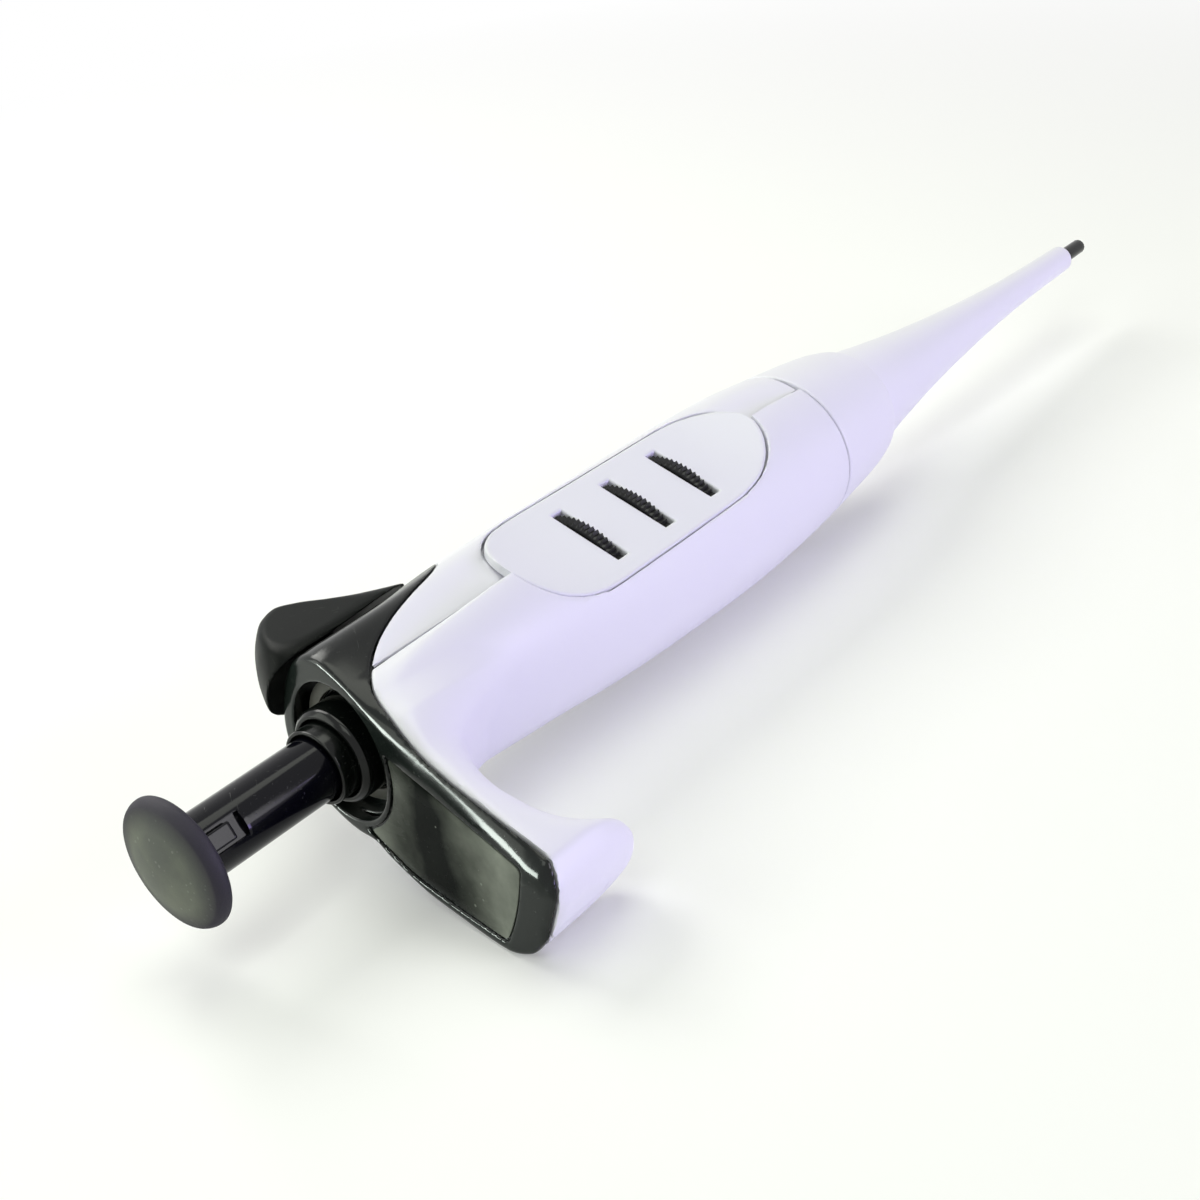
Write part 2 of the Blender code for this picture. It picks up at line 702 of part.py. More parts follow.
def make_cap(shell):
    """Gloss black cap: sloping top, recess, cup round the recess and side skirt."""
    cap = place("top_cap", shell.copy(), BLACK)
    low, high = CAP_EDGE[0][0], CAP_EDGE[-1][0]
    edge = smooth_edge(low, high, CAP_EDGE_POINTS)
    top = [(cap_top(high), high), (cap_top(low), low)]
    combine(cap, prism("cap_slab", edge + top, "xy", -FAR, FAR), "INTERSECT")
    cup_start = RECESS_FLOOR - CUP_WALL
    cup = rod("cap_cup", RECESS_RADIUS + CUP_WALL, cup_start, COLLAR_FLANGE_END, FINE_POINTS)
    combine(cap, cup, "UNION")
    half = FRAME_LUG_HEIGHT / 2 + GAP
    slot = box(
        "lug_slot",
        (FRAME_RING_START - GAP, FRAME_RING_INNER, FRAME_LUG_MIDDLE - half),
        (FRAME_RING_END + EJECT_STROKE + GAP, FAR, FRAME_LUG_MIDDLE + half),
    )
    recess_start = CAP_TOP - RECESS_DEPTH - RECESS_RADIUS
    hole = COLLAR_RADIUS + GAP
    cut(
        cap,
        rod("recess", RECESS_RADIUS, recess_start, RECESS_FLOOR, FINE_POINTS),
        rod("collar_hole", hole, RECESS_FLOOR - OVERCUT, CAP_FLOOR_END + OVERCUT, MEDIUM_POINTS),
        rod("skirt_bay", UPPER_CHAMBER_RADIUS, CAP_FLOOR_END, UPPER_CHAMBER_END, FINE_POINTS),
        slot,
        window_form("window_hole", 0.0),
    )
    return cap


def window_form(name, inset, colour=None):
    """A block along x with the label window's outline in y and z, inset all round."""
    near = RECESS_RADIUS + WINDOW_NEAR_WALL + inset
    front = through(WINDOW_FRONT, near) - inset
    back = through(WINDOW_BACK, near) + inset
    first, last = math.asin(back / near), math.asin(front / near)
    edge = [(-near * math.cos(a), near * math.sin(a)) for a in np.linspace(first, last, 7)]
    far = WINDOW_FAR_END - inset
    for out in stations(near, far, WINDOW_PITCH):
        edge.append((-out, through(WINDOW_FRONT, out) - inset))
    edge.append((-far, through(WINDOW_BACK, far) + inset))
    for out in stations(far, near, -WINDOW_PITCH)[1:]:
        edge.append((-out, through(WINDOW_BACK, out) + inset))
    low, high = cap_top(-FAR), CAP_TOP + CAP_FLOOR
    bm = bmesh.new()
    face = bm.faces.new([bm.verts.new((low, y, z)) for y, z in edge])
    made = bmesh.ops.extrude_face_region(bm, geom=[face])
    moved = [v for v in made["geom"] if isinstance(v, bmesh.types.BMVert)]
    bmesh.ops.translate(bm, verts=moved, vec=(high - low, 0, 0))
    bmesh.ops.recalc_face_normals(bm, faces=bm.faces)
    return finish(name, bm, colour)


def make_window():
    """Grey label window, let into the cap's arm just below its top face."""
    window = window_form("label_window", GAP, WINDOW_GREY)
    edge = smooth_edge(CAP_EDGE[0][0], 0.0, CAP_EDGE_POINTS)
    top = [(cap_top(y) + WINDOW_SINK, y) for y in (0.0, CAP_EDGE[0][0])]
    combine(window, prism("window_slab", edge + top, "xy", -FAR, FAR), "INTERSECT")
    return window


def panel_outline(inset):
    """Closed outline of the dial panel from the front, as (x, y)."""
    places = [
        PANEL_START + inset + (PANEL_END - PANEL_START - 2 * inset) * (1 - math.cos(a)) / 2
        for a in np.linspace(0, math.pi, PANEL_POINTS)
    ]
    side = [(x, max(panel_half_width(x) - inset, 0.0)) for x in places[1:-1]]
    start = [(places[0], 0.0)]
    end = [(places[-1], 0.0)]
    return start + side + end + [(x, -y) for x, y in reversed(side)]


def make_pocket():
    """Cutter for the dial panel's seat, which is open toward the front."""
    pocket = prism("panel_pocket", panel_outline(0.0), "xy", 0.0, FAR)
    under = PANEL_THICKNESS + GAP
    floor = [(x, panel_height(x) - under) for x in stations(PANEL_START, PANEL_END, PANEL_PITCH)]
    lid = [(PANEL_END, FAR + OVERCUT), (PANEL_START, FAR + OVERCUT)]
    combine(pocket, prism("pocket_depth", floor + lid, "xz", -FAR, FAR), "INTERSECT")
    return pocket


def make_panel():
    """Dished panel with a slot for each dial wheel."""
    panel = prism("dial_panel", panel_outline(GAP), "xy", 0.0, FAR, WHITE)
    places = stations(PANEL_START - OVERCUT, PANEL_END + OVERCUT, PANEL_PITCH)
    face = [(x, panel_height(x)) for x in places]
    back = [(x, panel_height(x) - PANEL_THICKNESS) for x in reversed(places)]
    combine(panel, prism("panel_sheet", face + back, "xz", -FAR, FAR), "INTERSECT")
    half = WHEEL_WIDTH / 2 + SLOT_SIDE_GAP
    for i in range(WHEEL_COUNT):
        x = WHEEL_FIRST + i * WHEEL_PITCH
        low = (x - half, -SLOT_HALF_LENGTH, 0.0)
        high = (x + half, SLOT_HALF_LENGTH, FAR)
        way = rod(f"slot_way_{i + 1}", WHEEL_RADIUS + GAP, x - half, x + half, FINE_POINTS)
        cut(panel, box(f"slot_{i + 1}", low, high), way)
    return panel


def strip_line():
    """Outer face of the ejector strip as (x, z) points, with its foot at the sleeve."""
    return [
        (FRAME_RING_START + GAP, -STRIP_UPPER - STRIP_THICKNESS),
        (STRIP_RAMP_START, -STRIP_UPPER - STRIP_THICKNESS),
        (STRIP_RAMP_END, -STRIP_LOWER - STRIP_THICKNESS),
        (STRIP_END, -STRIP_LOWER - STRIP_THICKNESS),
    ]


def make_chambers():
    """Cutters for the hollow inside the grip, shared by both housing halves."""
    line = strip_line()
    low = line[-1][1] - GAP
    end = line[-1][0] + EJECT_STROKE + STRIP_MARGIN
    channel = [
        (line[0][0], -CHANNEL_TOP),
        (line[0][0], line[0][1] - GAP),
        (line[1][0], line[1][1] - GAP),
        (line[2][0], low),
        (end, low),
        (end, -CHANNEL_TOP),
    ]
    half = STRIP_WIDTH / 2 + GAP
    cup_radius = RECESS_RADIUS + CUP_WALL + GAP
    cup_end = COLLAR_FLANGE_END + GAP
    seat_end = NOZZLE_START + NOZZLE_FLANGE_LENGTH + GAP
    core_start = UPPER_CHAMBER_END - OVERCUT
    core_end = LOWER_CHAMBER_START + OVERCUT
    return [
        rod("cup_bay", cup_radius, cup_end - FAR, cup_end, FINE_POINTS),
        rod("upper_bay", UPPER_CHAMBER_RADIUS, cup_end - OVERCUT, UPPER_CHAMBER_END, FINE_POINTS),
        rod("wheel_bay", WHEEL_BAY_RADIUS, WHEEL_BAY_START, WHEEL_BAY_END, FINE_POINTS),
        rod("flange_seat", NOZZLE_FLANGE_RADIUS + GAP, LOWER_CHAMBER_START, seat_end + OVERCUT, FINE_POINTS),
        rod("lower_bay", LOWER_CHAMBER_RADIUS, seat_end, GRIP_END + OVERCUT, FINE_POINTS),
        rod("core_bore", CORE_RADIUS + GAP, core_start, core_end, COARSE_POINTS),
        prism("strip_channel", channel, "xz", -half, half),
    ]


def make_housing(shell):
    """The two grip halves, split where the pipette is symmetrical apart from its hook."""
    low, high = CAP_EDGE[0][0], CAP_EDGE[-1][0]
    edge = [(x + SEAM, y) for x, y in smooth_edge(low, high, CAP_EDGE_POINTS)]
    above = prism("above_housing", edge + [(0.0, high), (0.0, low)], "xy", -FAR, FAR)
    tools = [above, make_pocket()] + make_chambers()
    sides = {
        "housing_ejector_side": ((0, -FAR, -FAR), (COLLAR_END, SEAM / 2, FAR)),
        "housing_hook_side": ((0, -SEAM / 2, -FAR), (COLLAR_END, FAR, FAR)),
    }
    for name, (corner, opposite) in sides.items():
        half = place(name, shell.copy(), WHITE)
        cut(half, *tools, box(name + "_split", corner, opposite))


def make_lower_collar():
    """Ring that closes the grip's lower end, with a rounded edge and the sleeve's bore."""
    places = stations(GRIP_END + SEAM, COLLAR_ROUND_START, RING_PITCH_FINE)
    span = COLLAR_END - COLLAR_ROUND_START
    places += [COLLAR_ROUND_START + span * math.sin(a) for a in (0.5, 0.9, math.pi / 2)]
    collar = loft("lower_collar", [grip_ring(x) for x in places], WHITE)
    bore = SLEEVE_TAPER[0][1] + SLIDE_GAP
    hole = rod("sleeve_bore", bore, GRIP_END - OVERCUT, COLLAR_END + OVERCUT, FINE_POINTS)
    return cut(collar, hole)


def make_button():
    """Domed push button with a socket for the stem's spigot."""
    dome = BUTTON_DOME - BUTTON_FACE_DROP
    face = [
        (dome * share**2 - BUTTON_DOME, BUTTON_FACE_RADIUS * share)
        for share in np.linspace(0, 1, DOME_STEPS)
    ]
    outline = face + [
        (-BUTTON_FACE_EDGE, BUTTON_RADIUS - BUTTON_EDGE / 2),
        (BUTTON_EDGE, BUTTON_RADIUS),
        (BUTTON_RIM, BUTTON_RADIUS),
        (BUTTON_RIM + BUTTON_EDGE, BUTTON_RADIUS - BUTTON_EDGE),
        (BUTTON_BACK - BUTTON_EDGE, BUTTON_NECK_RADIUS + BUTTON_EDGE),
        (BUTTON_BACK, BUTTON_NECK_RADIUS),
        (BUTTON_BACK, SPIGOT_RADIUS + GAP),
        (SPIGOT_START - GAP, SPIGOT_RADIUS + GAP),
        (SPIGOT_START - GAP, 0.0),
    ]
    return turned("push_button", outline, SOFT_GREY, BUTTON_POINTS)


def latch_block(name, low, high, width, start, end, colour=None):
    """A block on the stem's latch side, between two heights above the axis."""
    block = box(name, (start, -width / 2, low), (end, width / 2, high), colour)
    block.data.transform(Matrix.Rotation(LATCH_ANGLE, 4, "X"))
    return block


def make_stem():
    """Gloss black stem: spigot, shank with the latch's notch, flange and rod socket."""
    socket = ROD_RADIUS + GAP
    outline = [
        (SPIGOT_START, 0.0),
        (SPIGOT_START, SPIGOT_RADIUS),
        (STEM_START, SPIGOT_RADIUS),
        (STEM_START, STEM_RADIUS),
        (FLANGE_START, STEM_RADIUS),
        (FLANGE_START, STEM_FLANGE_RADIUS),
        (STEM_END, STEM_FLANGE_RADIUS),
        (STEM_END, socket),
        (STEM_END - STEM_SOCKET_DEPTH, socket),
        (STEM_END - STEM_SOCKET_DEPTH, 0.0),
    ]
    stem = turned("plunger_stem", outline, BLACK)
    floor = STEM_RADIUS - NOTCH_DEPTH
    notch_end = STEM_START + NOTCH_LENGTH
    notch = latch_block("notch", floor, 2 * STEM_RADIUS, NOTCH_WIDTH, 0, notch_end)
    return cut(stem, notch)


def make_latch():
    """Small tab in the stem's notch that holds the button."""
    low = STEM_RADIUS - NOTCH_DEPTH + GAP
    start = STEM_START
    end = start + LATCH_LENGTH
    return latch_block("button_latch", low, low + LATCH_HEIGHT, LATCH_WIDTH, start, end, BLACK)


def ring(name, start, end, inner, outer, colour, count=MEDIUM_POINTS):
    """A plain turned ring with its two outer edges slightly broken."""
    edge = min(RING_EDGE, (outer - inner) / 3)
    outline = [
        (start, inner),
        (start, outer - edge),
        (start + edge, outer),
        (end - edge, outer),
        (end, outer - edge),
        (end, inner),
    ]
    return turned(name, outline, colour, count, closed=True)


def make_guides():
    """Bush that the stem slides in, and the flanged collar that carries the bush."""
    inner = STEM_RADIUS + SLIDE_GAP
    ring("stem_guide_bush", BUSH_START, BUSH_END, inner, BUSH_RADIUS, BLACK)
    inner = BUSH_RADIUS + GAP
    outline = [
        (COLLAR_START, inner),
        (COLLAR_START, COLLAR_RADIUS - RING_EDGE),
        (COLLAR_START + RING_EDGE, COLLAR_RADIUS),
        (COLLAR_FLANGE_START, COLLAR_RADIUS),
        (COLLAR_FLANGE_START, COLLAR_FLANGE_RADIUS),
        (COLLAR_FLANGE_END, COLLAR_FLANGE_RADIUS),
        (COLLAR_FLANGE_END, inner),
    ]
    turned("guide_collar", outline, BLACK, closed=True)


def make_wheel(number):
    """Serrated thumb wheel on a hub."""
    x = WHEEL_FIRST + (number - 1) * WHEEL_PITCH
    bore = CORE_RADIUS + GAP
    spots = []
    for i in range(2 * WHEEL_TEETH):
        angle = math.pi * i / WHEEL_TEETH
        radius = WHEEL_RADIUS - (TOOTH_DEPTH if i % 2 else 0.0)
        spots.append((radius * math.sin(angle), radius * math.cos(angle)))
    sides = [[(side, y, z) for y, z in spots] for side in (-WHEEL_WIDTH / 2, WHEEL_WIDTH / 2)]
    name = f"dial_wheel_{number}"
    wheel = loft(name, sides, SATIN_BLACK, 20)
    wheel.location = (x, 0, 0)
    hub = rod(name + "_hub", WHEEL_HUB_RADIUS, x - HUB_LENGTH / 2, x + HUB_LENGTH / 2, COARSE_POINTS)
    combine(wheel, hub, "UNION")
    return cut(wheel, rod(name + "_bore", bore, x - HUB_LENGTH, x + HUB_LENGTH, COARSE_POINTS))


def make_core():
    """Tube that the wheels turn on, and the stop nut at its upper end."""
    start = UPPER_CHAMBER_END + SNUG
    ring("dial_core", start, LOWER_CHAMBER_START, CORE_BORE, CORE_RADIUS, SATIN_BLACK, COARSE_POINTS)
    end = UPPER_CHAMBER_END - SNUG
    ring("stroke_nut", NUT_START, end, CORE_BORE, CORE_BORE + NUT_WALL, AMBER, COARSE_POINTS)


def make_rod_and_piston():
    """Rod from the stem, plate for the spring and the slim piston."""
    outline = [
        (ROD_START, 0.0),
        (ROD_START, ROD_RADIUS),
        (PISTON_START - ROD_SHOULDER, ROD_RADIUS),
        (PISTON_START, PISTON_RADIUS),
        (PISTON_START, 0.0),
    ]
    turned("piston_rod", outline, STEEL, COARSE_POINTS)
    ring("spring_plate", PLATE_START, PLATE_END, ROD_RADIUS + SNUG, PLATE_RADIUS, STEEL, COARSE_POINTS)
    rod("piston", PISTON_RADIUS, PISTON_START + SNUG, PISTON_END, COARSE_POINTS, STEEL)


def sleeve_radius(x):
    """Outer radius of the ejector sleeve at x."""
    return through(SLEEVE_TAPER, x)


def make_nozzle_shaft():
    """Shaft with a flanged spring tube, the piston's bore and the nozzle at its end."""
    bore = PISTON_RADIUS + SLIDE_GAP
    chamber_end = PISTON_END + FULL_STROKE + BORE_MARGIN
    tube = NOZZLE_HEAD_RADIUS - NOZZLE_HEAD_WALL
    flange_end = NOZZLE_START + NOZZLE_FLANGE_LENGTH
    taper = []
    for x in stations(NOZZLE_TAPER_START, SLEEVE_TAPER[-1][0], NOZZLE_PITCH):
        wanted = sleeve_radius(x) - SLEEVE_WALL - NOZZLE_CLEARANCE
        taper.append((x, max(min(wanted, NOZZLE_HEAD_RADIUS), NOZZLE_RADIUS)))
    end = [
        (NOZZLE_END + NOZZLE_ROUND * (math.sin(a) - 1), NOZZLE_RADIUS + NOZZLE_ROUND * (math.cos(a) - 1))
        for a in np.linspace(0, math.pi / 2, 4)
    ]
    outline = [
        (NOZZLE_START, tube),
        (NOZZLE_START, NOZZLE_FLANGE_RADIUS),
        (flange_end, NOZZLE_FLANGE_RADIUS),
        (flange_end, NOZZLE_HEAD_RADIUS),
        *taper,
        *end,
        (NOZZLE_END, NOZZLE_BORE_RADIUS),
        (chamber_end, NOZZLE_BORE_RADIUS),
        (chamber_end, bore),
        (NOZZLE_FLOOR, bore),
        (NOZZLE_FLOOR, tube),
    ]
    turned("nozzle_shaft", outline, SATIN_BLACK, COARSE_POINTS, closed=True)


def make_seal():
    """Piston seal and the cup that keeps it against the shaft's floor."""
    inner = PISTON_RADIUS + SNUG
    end = NOZZLE_FLOOR - SNUG
    start = end - SEAL_LENGTH
    thick = SEAL_WALL / 2
    outline = [
        ((start + end) / 2 + SEAL_LENGTH / 2 * math.cos(a), inner + thick + thick * math.sin(a))
        for a in np.linspace(0, 2 * math.pi, SEAL_STEPS, endpoint=False)
    ]
    turned("seal_ring", outline, AMBER, COARSE_POINTS, closed=True)
    hole = inner + SEAL_WALL + SNUG
    outer = hole + RETAINER_WALL
    inner = PISTON_RADIUS + SLIDE_GAP
    outline = [
        (RETAINER_START, inner),
        (RETAINER_START, outer),
        (end, outer),
        (end, hole),
        (start - SNUG, hole),
        (start - SNUG, inner),
    ]
    turned("seal_retainer", outline, SATIN_BLACK, COARSE_POINTS, closed=True)


def make_springs():
    """The three compression springs, between the faces that they push on."""
    seat = PLATE_END + SNUG
    coil("piston_spring", PISTON_SPRING_RADIUS, PISTON_SPRING_TURNS, seat, NOZZLE_FLOOR - SNUG)
    rib = UPPER_CHAMBER_END - SNUG
    coil("blowout_spring", BLOWOUT_SPRING_RADIUS, BLOWOUT_SPRING_TURNS, BLOWOUT_START, rib)
    seat = FRAME_RING_END + SNUG
    coil("ejector_spring", EJECTOR_SPRING_RADIUS, EJECTOR_SPRING_TURNS, seat, rib)


def make_lever():
    """Thumb lobe that lies against the cap's skirt and takes the frame's lug."""
    rings = []
    for x, reach, middle, half in LOBE:
        spots = []
        for i in range(LOBE_POINTS):
            across, up = rounded(2 * math.pi * i / LOBE_POINTS, LOBE_SQUARENESS)
            y = (reach + LOBE_ROOT) / 2 + across * (reach - LOBE_ROOT) / 2
            spots.append((x, y, middle + up * half))
        rings.append(spots)
    lever = loft("ejector_lever", rings, SATIN_BLACK)
    places = stations(SHELL_START, WHEEL_BAY_END, RING_PITCH_FINE)
    clear = loft("lever_clearance", [grip_ring(x, LOBE_GAP, -EJECT_STROKE) for x in places])
    half = FRAME_LUG_HEIGHT / 2 + GAP
    pocket = box(
        "lug_pocket",
        (FRAME_RING_START - GAP, LOBE_ROOT, FRAME_LUG_MIDDLE - half),
        (FRAME_RING_END + GAP, FRAME_LUG_REACH + GAP, FRAME_LUG_MIDDLE + half),
    )
    return cut(lever, clear, pocket)


def make_frame():
    """Ring round the stem's bush, its lug for the lobe and the strip down to the sleeve."""
    outer = UPPER_CHAMBER_RADIUS - SLIDE_GAP - SNUG
    frame = rod("ejector_frame", outer, FRAME_RING_START, FRAME_RING_END, MEDIUM_POINTS, SATIN_BLACK)
    half = FRAME_LUG_HEIGHT / 2
    lug = box(
        "frame_lug",
        (FRAME_RING_START, FRAME_RING_INNER + OVERCUT, FRAME_LUG_MIDDLE - half),
        (FRAME_RING_END, FRAME_LUG_REACH, FRAME_LUG_MIDDLE + half),
    )
    line = strip_line()
    inside = [(x, z + STRIP_THICKNESS) for x, z in line]
    foot_start = STRIP_END + GAP
    foot_end = foot_start + STRIP_THICKNESS
    foot_reach = FRAME_FOOT_REACH - STRIP_LOWER
    foot = [(foot_end, line[-1][1]), (foot_end, foot_reach)]
    foot += [(foot_start, foot_reach), (foot_start, inside[-1][1])]
    width = STRIP_WIDTH / 2
    strip = prism("frame_strip", line + foot + list(reversed(inside[:-1])), "xz", -width, width)
    combine(frame, lug, "UNION")
    combine(frame, strip, "UNION")
    start = FRAME_RING_START - OVERCUT
    return cut(frame, rod("frame_bore", FRAME_RING_INNER, start, FRAME_RING_END + OVERCUT, MEDIUM_POINTS))


def make_sleeve():
    """Tapering ejector sleeve with a flange that the frame's foot pulls down."""
    wall = SLEEVE_WALL
    tip = SLEEVE_TAPER[-1][0]
    end = tip + SLEEVE_LIP
    places = stations(SLEEVE_TAPER[0][0], tip, SLEEVE_PITCH)
    outside = [(x, sleeve_radius(x)) for x in places]
    inside = [(x, sleeve_radius(x) - wall) for x in reversed(places[:-1])]
    flange_end = SLEEVE_START + SLEEVE_FLANGE_LENGTH
    outline = [
        (SLEEVE_START, SLEEVE_INNER),
        (SLEEVE_START, SLEEVE_FLANGE_RADIUS),
        (flange_end, SLEEVE_FLANGE_RADIUS),
        (flange_end, SLEEVE_TAPER[0][1]),
        *outside,
        (end - SLEEVE_LIP_ROUND, sleeve_radius(tip)),
        (end, sleeve_radius(tip) - SLEEVE_LIP_ROUND),
        (end, sleeve_radius(tip) - wall),
        *inside,
    ]
    sleeve = turned("ejector_sleeve", outline, WHITE, closed=True)
    width = STRIP_WIDTH / 2
    tab = box(
        "sleeve_tab",
        (SLEEVE_START, -width, -STRIP_LOWER + GAP),
        (flange_end, width, -SLEEVE_TAPER[0][1]),
    )
    return combine(sleeve, tab, "UNION")


def lowest(points, roll):
    """Lowest height of points after the pipette is rolled about its axis."""
    return min(y * math.sin(roll) + z * math.cos(roll) for _, y, z in points)


def resting_roll():
    """Roll at which the hook's end and the grip's back touch one flat surface."""
    grip = [p for x in stations(PANEL_START, GRIP_END, RING_PITCH) for p in grip_ring(x)]
    arm = [p for out in ARM_RINGS[-10:] for p in arm_ring(out * MM)]
    low, high = 0.0, math.radians(45)
    for _ in range(40):
        roll = (low + high) / 2
        if lowest(arm, roll) > lowest(grip, roll):
            low = roll
        else:
            high = roll
    return (low + high) / 2


def carry(things, name):
    """Parent pieces and cutters to one empty, and return it."""
    holder = bpy.data.objects.new(name, None)
    holder.empty_display_size = HANDLE_SIZE
    bpy.context.scene.collection.objects.link(holder)
    for thing in things:
        thing.parent = holder
    return holder


def settle():
    """Roll the pipette to rest and centre the box round it on the origin, bottom at z = 0."""
    things = [t for t in bpy.data.objects if t.type in {"MESH", "CURVE"}]
    moving = {
        "plunger_slide": PLUNGER_PIECES,
        "ejector_slide": EJECTOR_PIECES,
    }
    groups = []
    for name, members in moving.items():
        groups.append(carry([bpy.data.objects[m] for m in members], name))
    rest = [t for t in things if t.parent is None]
    pipette = carry(rest + groups, "pipette")
    pipette.rotation_euler = (resting_roll(), 0, 0)
    bpy.context.view_layer.update()
    graph = bpy.context.evaluated_depsgraph_get()
    corners = []
    for thing in collection(PARTS).objects:
        solid = thing.evaluated_get(graph)
        mesh = solid.to_mesh()
        corners += [thing.matrix_world @ v.co for v in mesh.vertices]
        solid.to_mesh_clear()
    low = Vector([min(c[i] for c in corners) for i in range(3)])
    high = Vector([max(c[i] for c in corners) for i in range(3)])
    middle = (low + high) / 2
    pipette.location = (-middle.x, -middle.y, -low.z)
    bpy.context.view_layer.update()


def main():
    """Build every piece of the pipette."""
    clear_scene()
    shell = make_shell()
    make_cap(shell)
    make_window()
    make_housing(shell)
    make_panel()
    make_lower_collar()
    make_button()
    make_stem()
    make_latch()
    make_guides()
    for number in range(1, WHEEL_COUNT + 1):
        make_wheel(number)
    make_core()
    make_rod_and_piston()
    make_nozzle_shaft()
    make_seal()
    make_springs()
    make_lever()
    make_frame()
    make_sleeve()
    settle()


main()
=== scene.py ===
"""Looks of a hand-held micropipette lying on its back. Metres, +Z up.

Each fine surface is worked out in the pipette's own frame, in millimetres: x runs along the
plunger's axis from the button's rim to the nozzle, -y is the finger hook's side and +z is the
dial panel's side. Setting turns that frame to the way the pipette lies.
"""

import json
import logging
import math
from dataclasses import dataclass
from enum import Enum
from typing import Callable, NamedTuple, Sequence

import bmesh
import bpy
import numpy as np
from mathutils import Matrix, Vector

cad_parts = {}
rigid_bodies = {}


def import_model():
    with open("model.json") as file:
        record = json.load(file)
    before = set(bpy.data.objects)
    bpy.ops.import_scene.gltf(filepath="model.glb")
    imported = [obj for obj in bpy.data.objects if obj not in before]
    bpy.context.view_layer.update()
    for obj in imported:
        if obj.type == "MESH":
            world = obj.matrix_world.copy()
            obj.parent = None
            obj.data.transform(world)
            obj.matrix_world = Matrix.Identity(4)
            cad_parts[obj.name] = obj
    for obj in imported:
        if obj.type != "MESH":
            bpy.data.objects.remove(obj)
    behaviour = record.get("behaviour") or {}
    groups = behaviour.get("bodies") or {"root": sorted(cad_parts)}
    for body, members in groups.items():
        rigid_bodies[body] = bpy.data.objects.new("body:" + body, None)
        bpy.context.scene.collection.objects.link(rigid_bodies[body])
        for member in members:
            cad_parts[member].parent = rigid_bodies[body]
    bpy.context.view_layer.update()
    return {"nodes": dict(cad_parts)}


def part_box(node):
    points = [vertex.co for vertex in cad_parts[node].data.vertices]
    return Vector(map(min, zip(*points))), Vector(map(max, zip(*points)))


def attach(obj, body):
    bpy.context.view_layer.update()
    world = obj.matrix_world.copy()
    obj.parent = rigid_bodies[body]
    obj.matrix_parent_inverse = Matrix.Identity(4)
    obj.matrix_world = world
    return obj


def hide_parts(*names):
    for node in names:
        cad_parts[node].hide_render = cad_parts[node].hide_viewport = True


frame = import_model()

MM = 1000.0
SMALL, TINY = 1e-9, 1e-12
log = logging.getLogger("micropipette")

Array = np.ndarray
Mesh = tuple[Array, Array]
Span = tuple[float, float]
Pairs = Sequence[tuple[float, float]]
Triple = tuple[float, float, float]
Corners = Sequence[Triple]
Box = tuple[Triple, Triple]


class Spots(NamedTuple):
    """Places in the pipette's own frame, in millimetres."""

    x: Array
    y: Array
    z: Array


Field = Callable[[Spots], Array]


class Body(Enum):
    """The rigid bodies that pieces ride on."""

    GRIP = "grip"
    PLUNGER = "plunger"
    EJECTOR = "ejector"


class Reach(Enum):
    """What a lamp lights: name starts of the pieces, or nothing for all there is."""

    ALL = ()
    PIPETTE = (
        "grip_", "cap_", "window_", "recess_", "panel_", "wheel_", "collar_", "button_", "stem_", "tip_",
        "thumb_", "nozzle_", "latch_", "bush_", "guide_",
    )
    CAP = ("cap_",)


@dataclass(frozen=True)
class Setting:
    """How the pipette's own frame lies in the world."""

    roll: float = math.radians(19.5699)
    nozzle_end: float = 244.8

    def matrix(self) -> Matrix:
        """Own frame in metres to world, placed by the nozzle shaft.

        Returns:
            The transform of the pipette's frame.
        """
        low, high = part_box("nozzle_shaft")
        spot = Vector((high.x - self.nozzle_end / MM, (low.y + high.y) / 2, (low.z + high.z) / 2))
        return Matrix.Translation(spot) @ Matrix.Rotation(self.roll, 4, "X")


class Curve:
    """A smooth curve through (place, value) pairs, read at many places at once."""

    def __init__(self, pairs: Pairs, steps: int = 24) -> None:
        """Sample the curve densely.

        Args:
            pairs: places in rising order, each with its value.
            steps: samples from one pair to the next.
        """
        places, values = np.array(pairs, float).T
        gaps = np.diff(places)
        rises = np.diff(values) / gaps
        slopes = np.concatenate(([rises[0]], np.zeros(len(rises) - 1), [rises[-1]]))
        for i in range(1, len(rises)):
            if rises[i - 1] * rises[i] > 0:
                slopes[i] = 2 * rises[i - 1] * rises[i] / (rises[i - 1] + rises[i])
        t = np.linspace(0, 1, steps + 1)[:-1]
        x = [start + t * gap for start, gap in zip(places, gaps)]
        y = [
            (1 + 2 * t) * (1 - t) ** 2 * values[i]
            + t * (1 - t) ** 2 * gap * slopes[i]
            + t * t * (3 - 2 * t) * values[i + 1]
            + t * t * (t - 1) * gap * slopes[i + 1]
            for i, gap in enumerate(gaps)
        ]
        self.places = np.append(np.concatenate(x), places[-1])
        self.values = np.append(np.concatenate(y), values[-1])
        self.slopes = np.gradient(self.values, self.places)

    def __call__(self, place: Array | float) -> Array:
        """Values at these places."""
        return np.interp(place, self.places, self.values)

    def slant(self, place: Array) -> Array:
        """Length of the curve per unit of place there, at least 1."""
        return np.sqrt(1 + np.interp(place, self.places, self.slopes) ** 2)


def ramp(value: Array, start: float, span: float) -> Array:
    """0 up to a start, rising to 1 over a span past it."""
    return np.clip((value - start) / span, 0.0, 1.0)


def blend_max(a: Array, b: Array, size: float | Array) -> Array:
    """The larger of two fields, with the edge between them rounded.

    Args:
        a: first field.
        b: second field.
        size: how far the rounding reaches, in millimetres.

    Returns:
        The field of what lies inside both.
    """
    h = np.maximum(size - np.abs(a - b), 0) / size
    return np.maximum(a, b) + h * h * size / 4


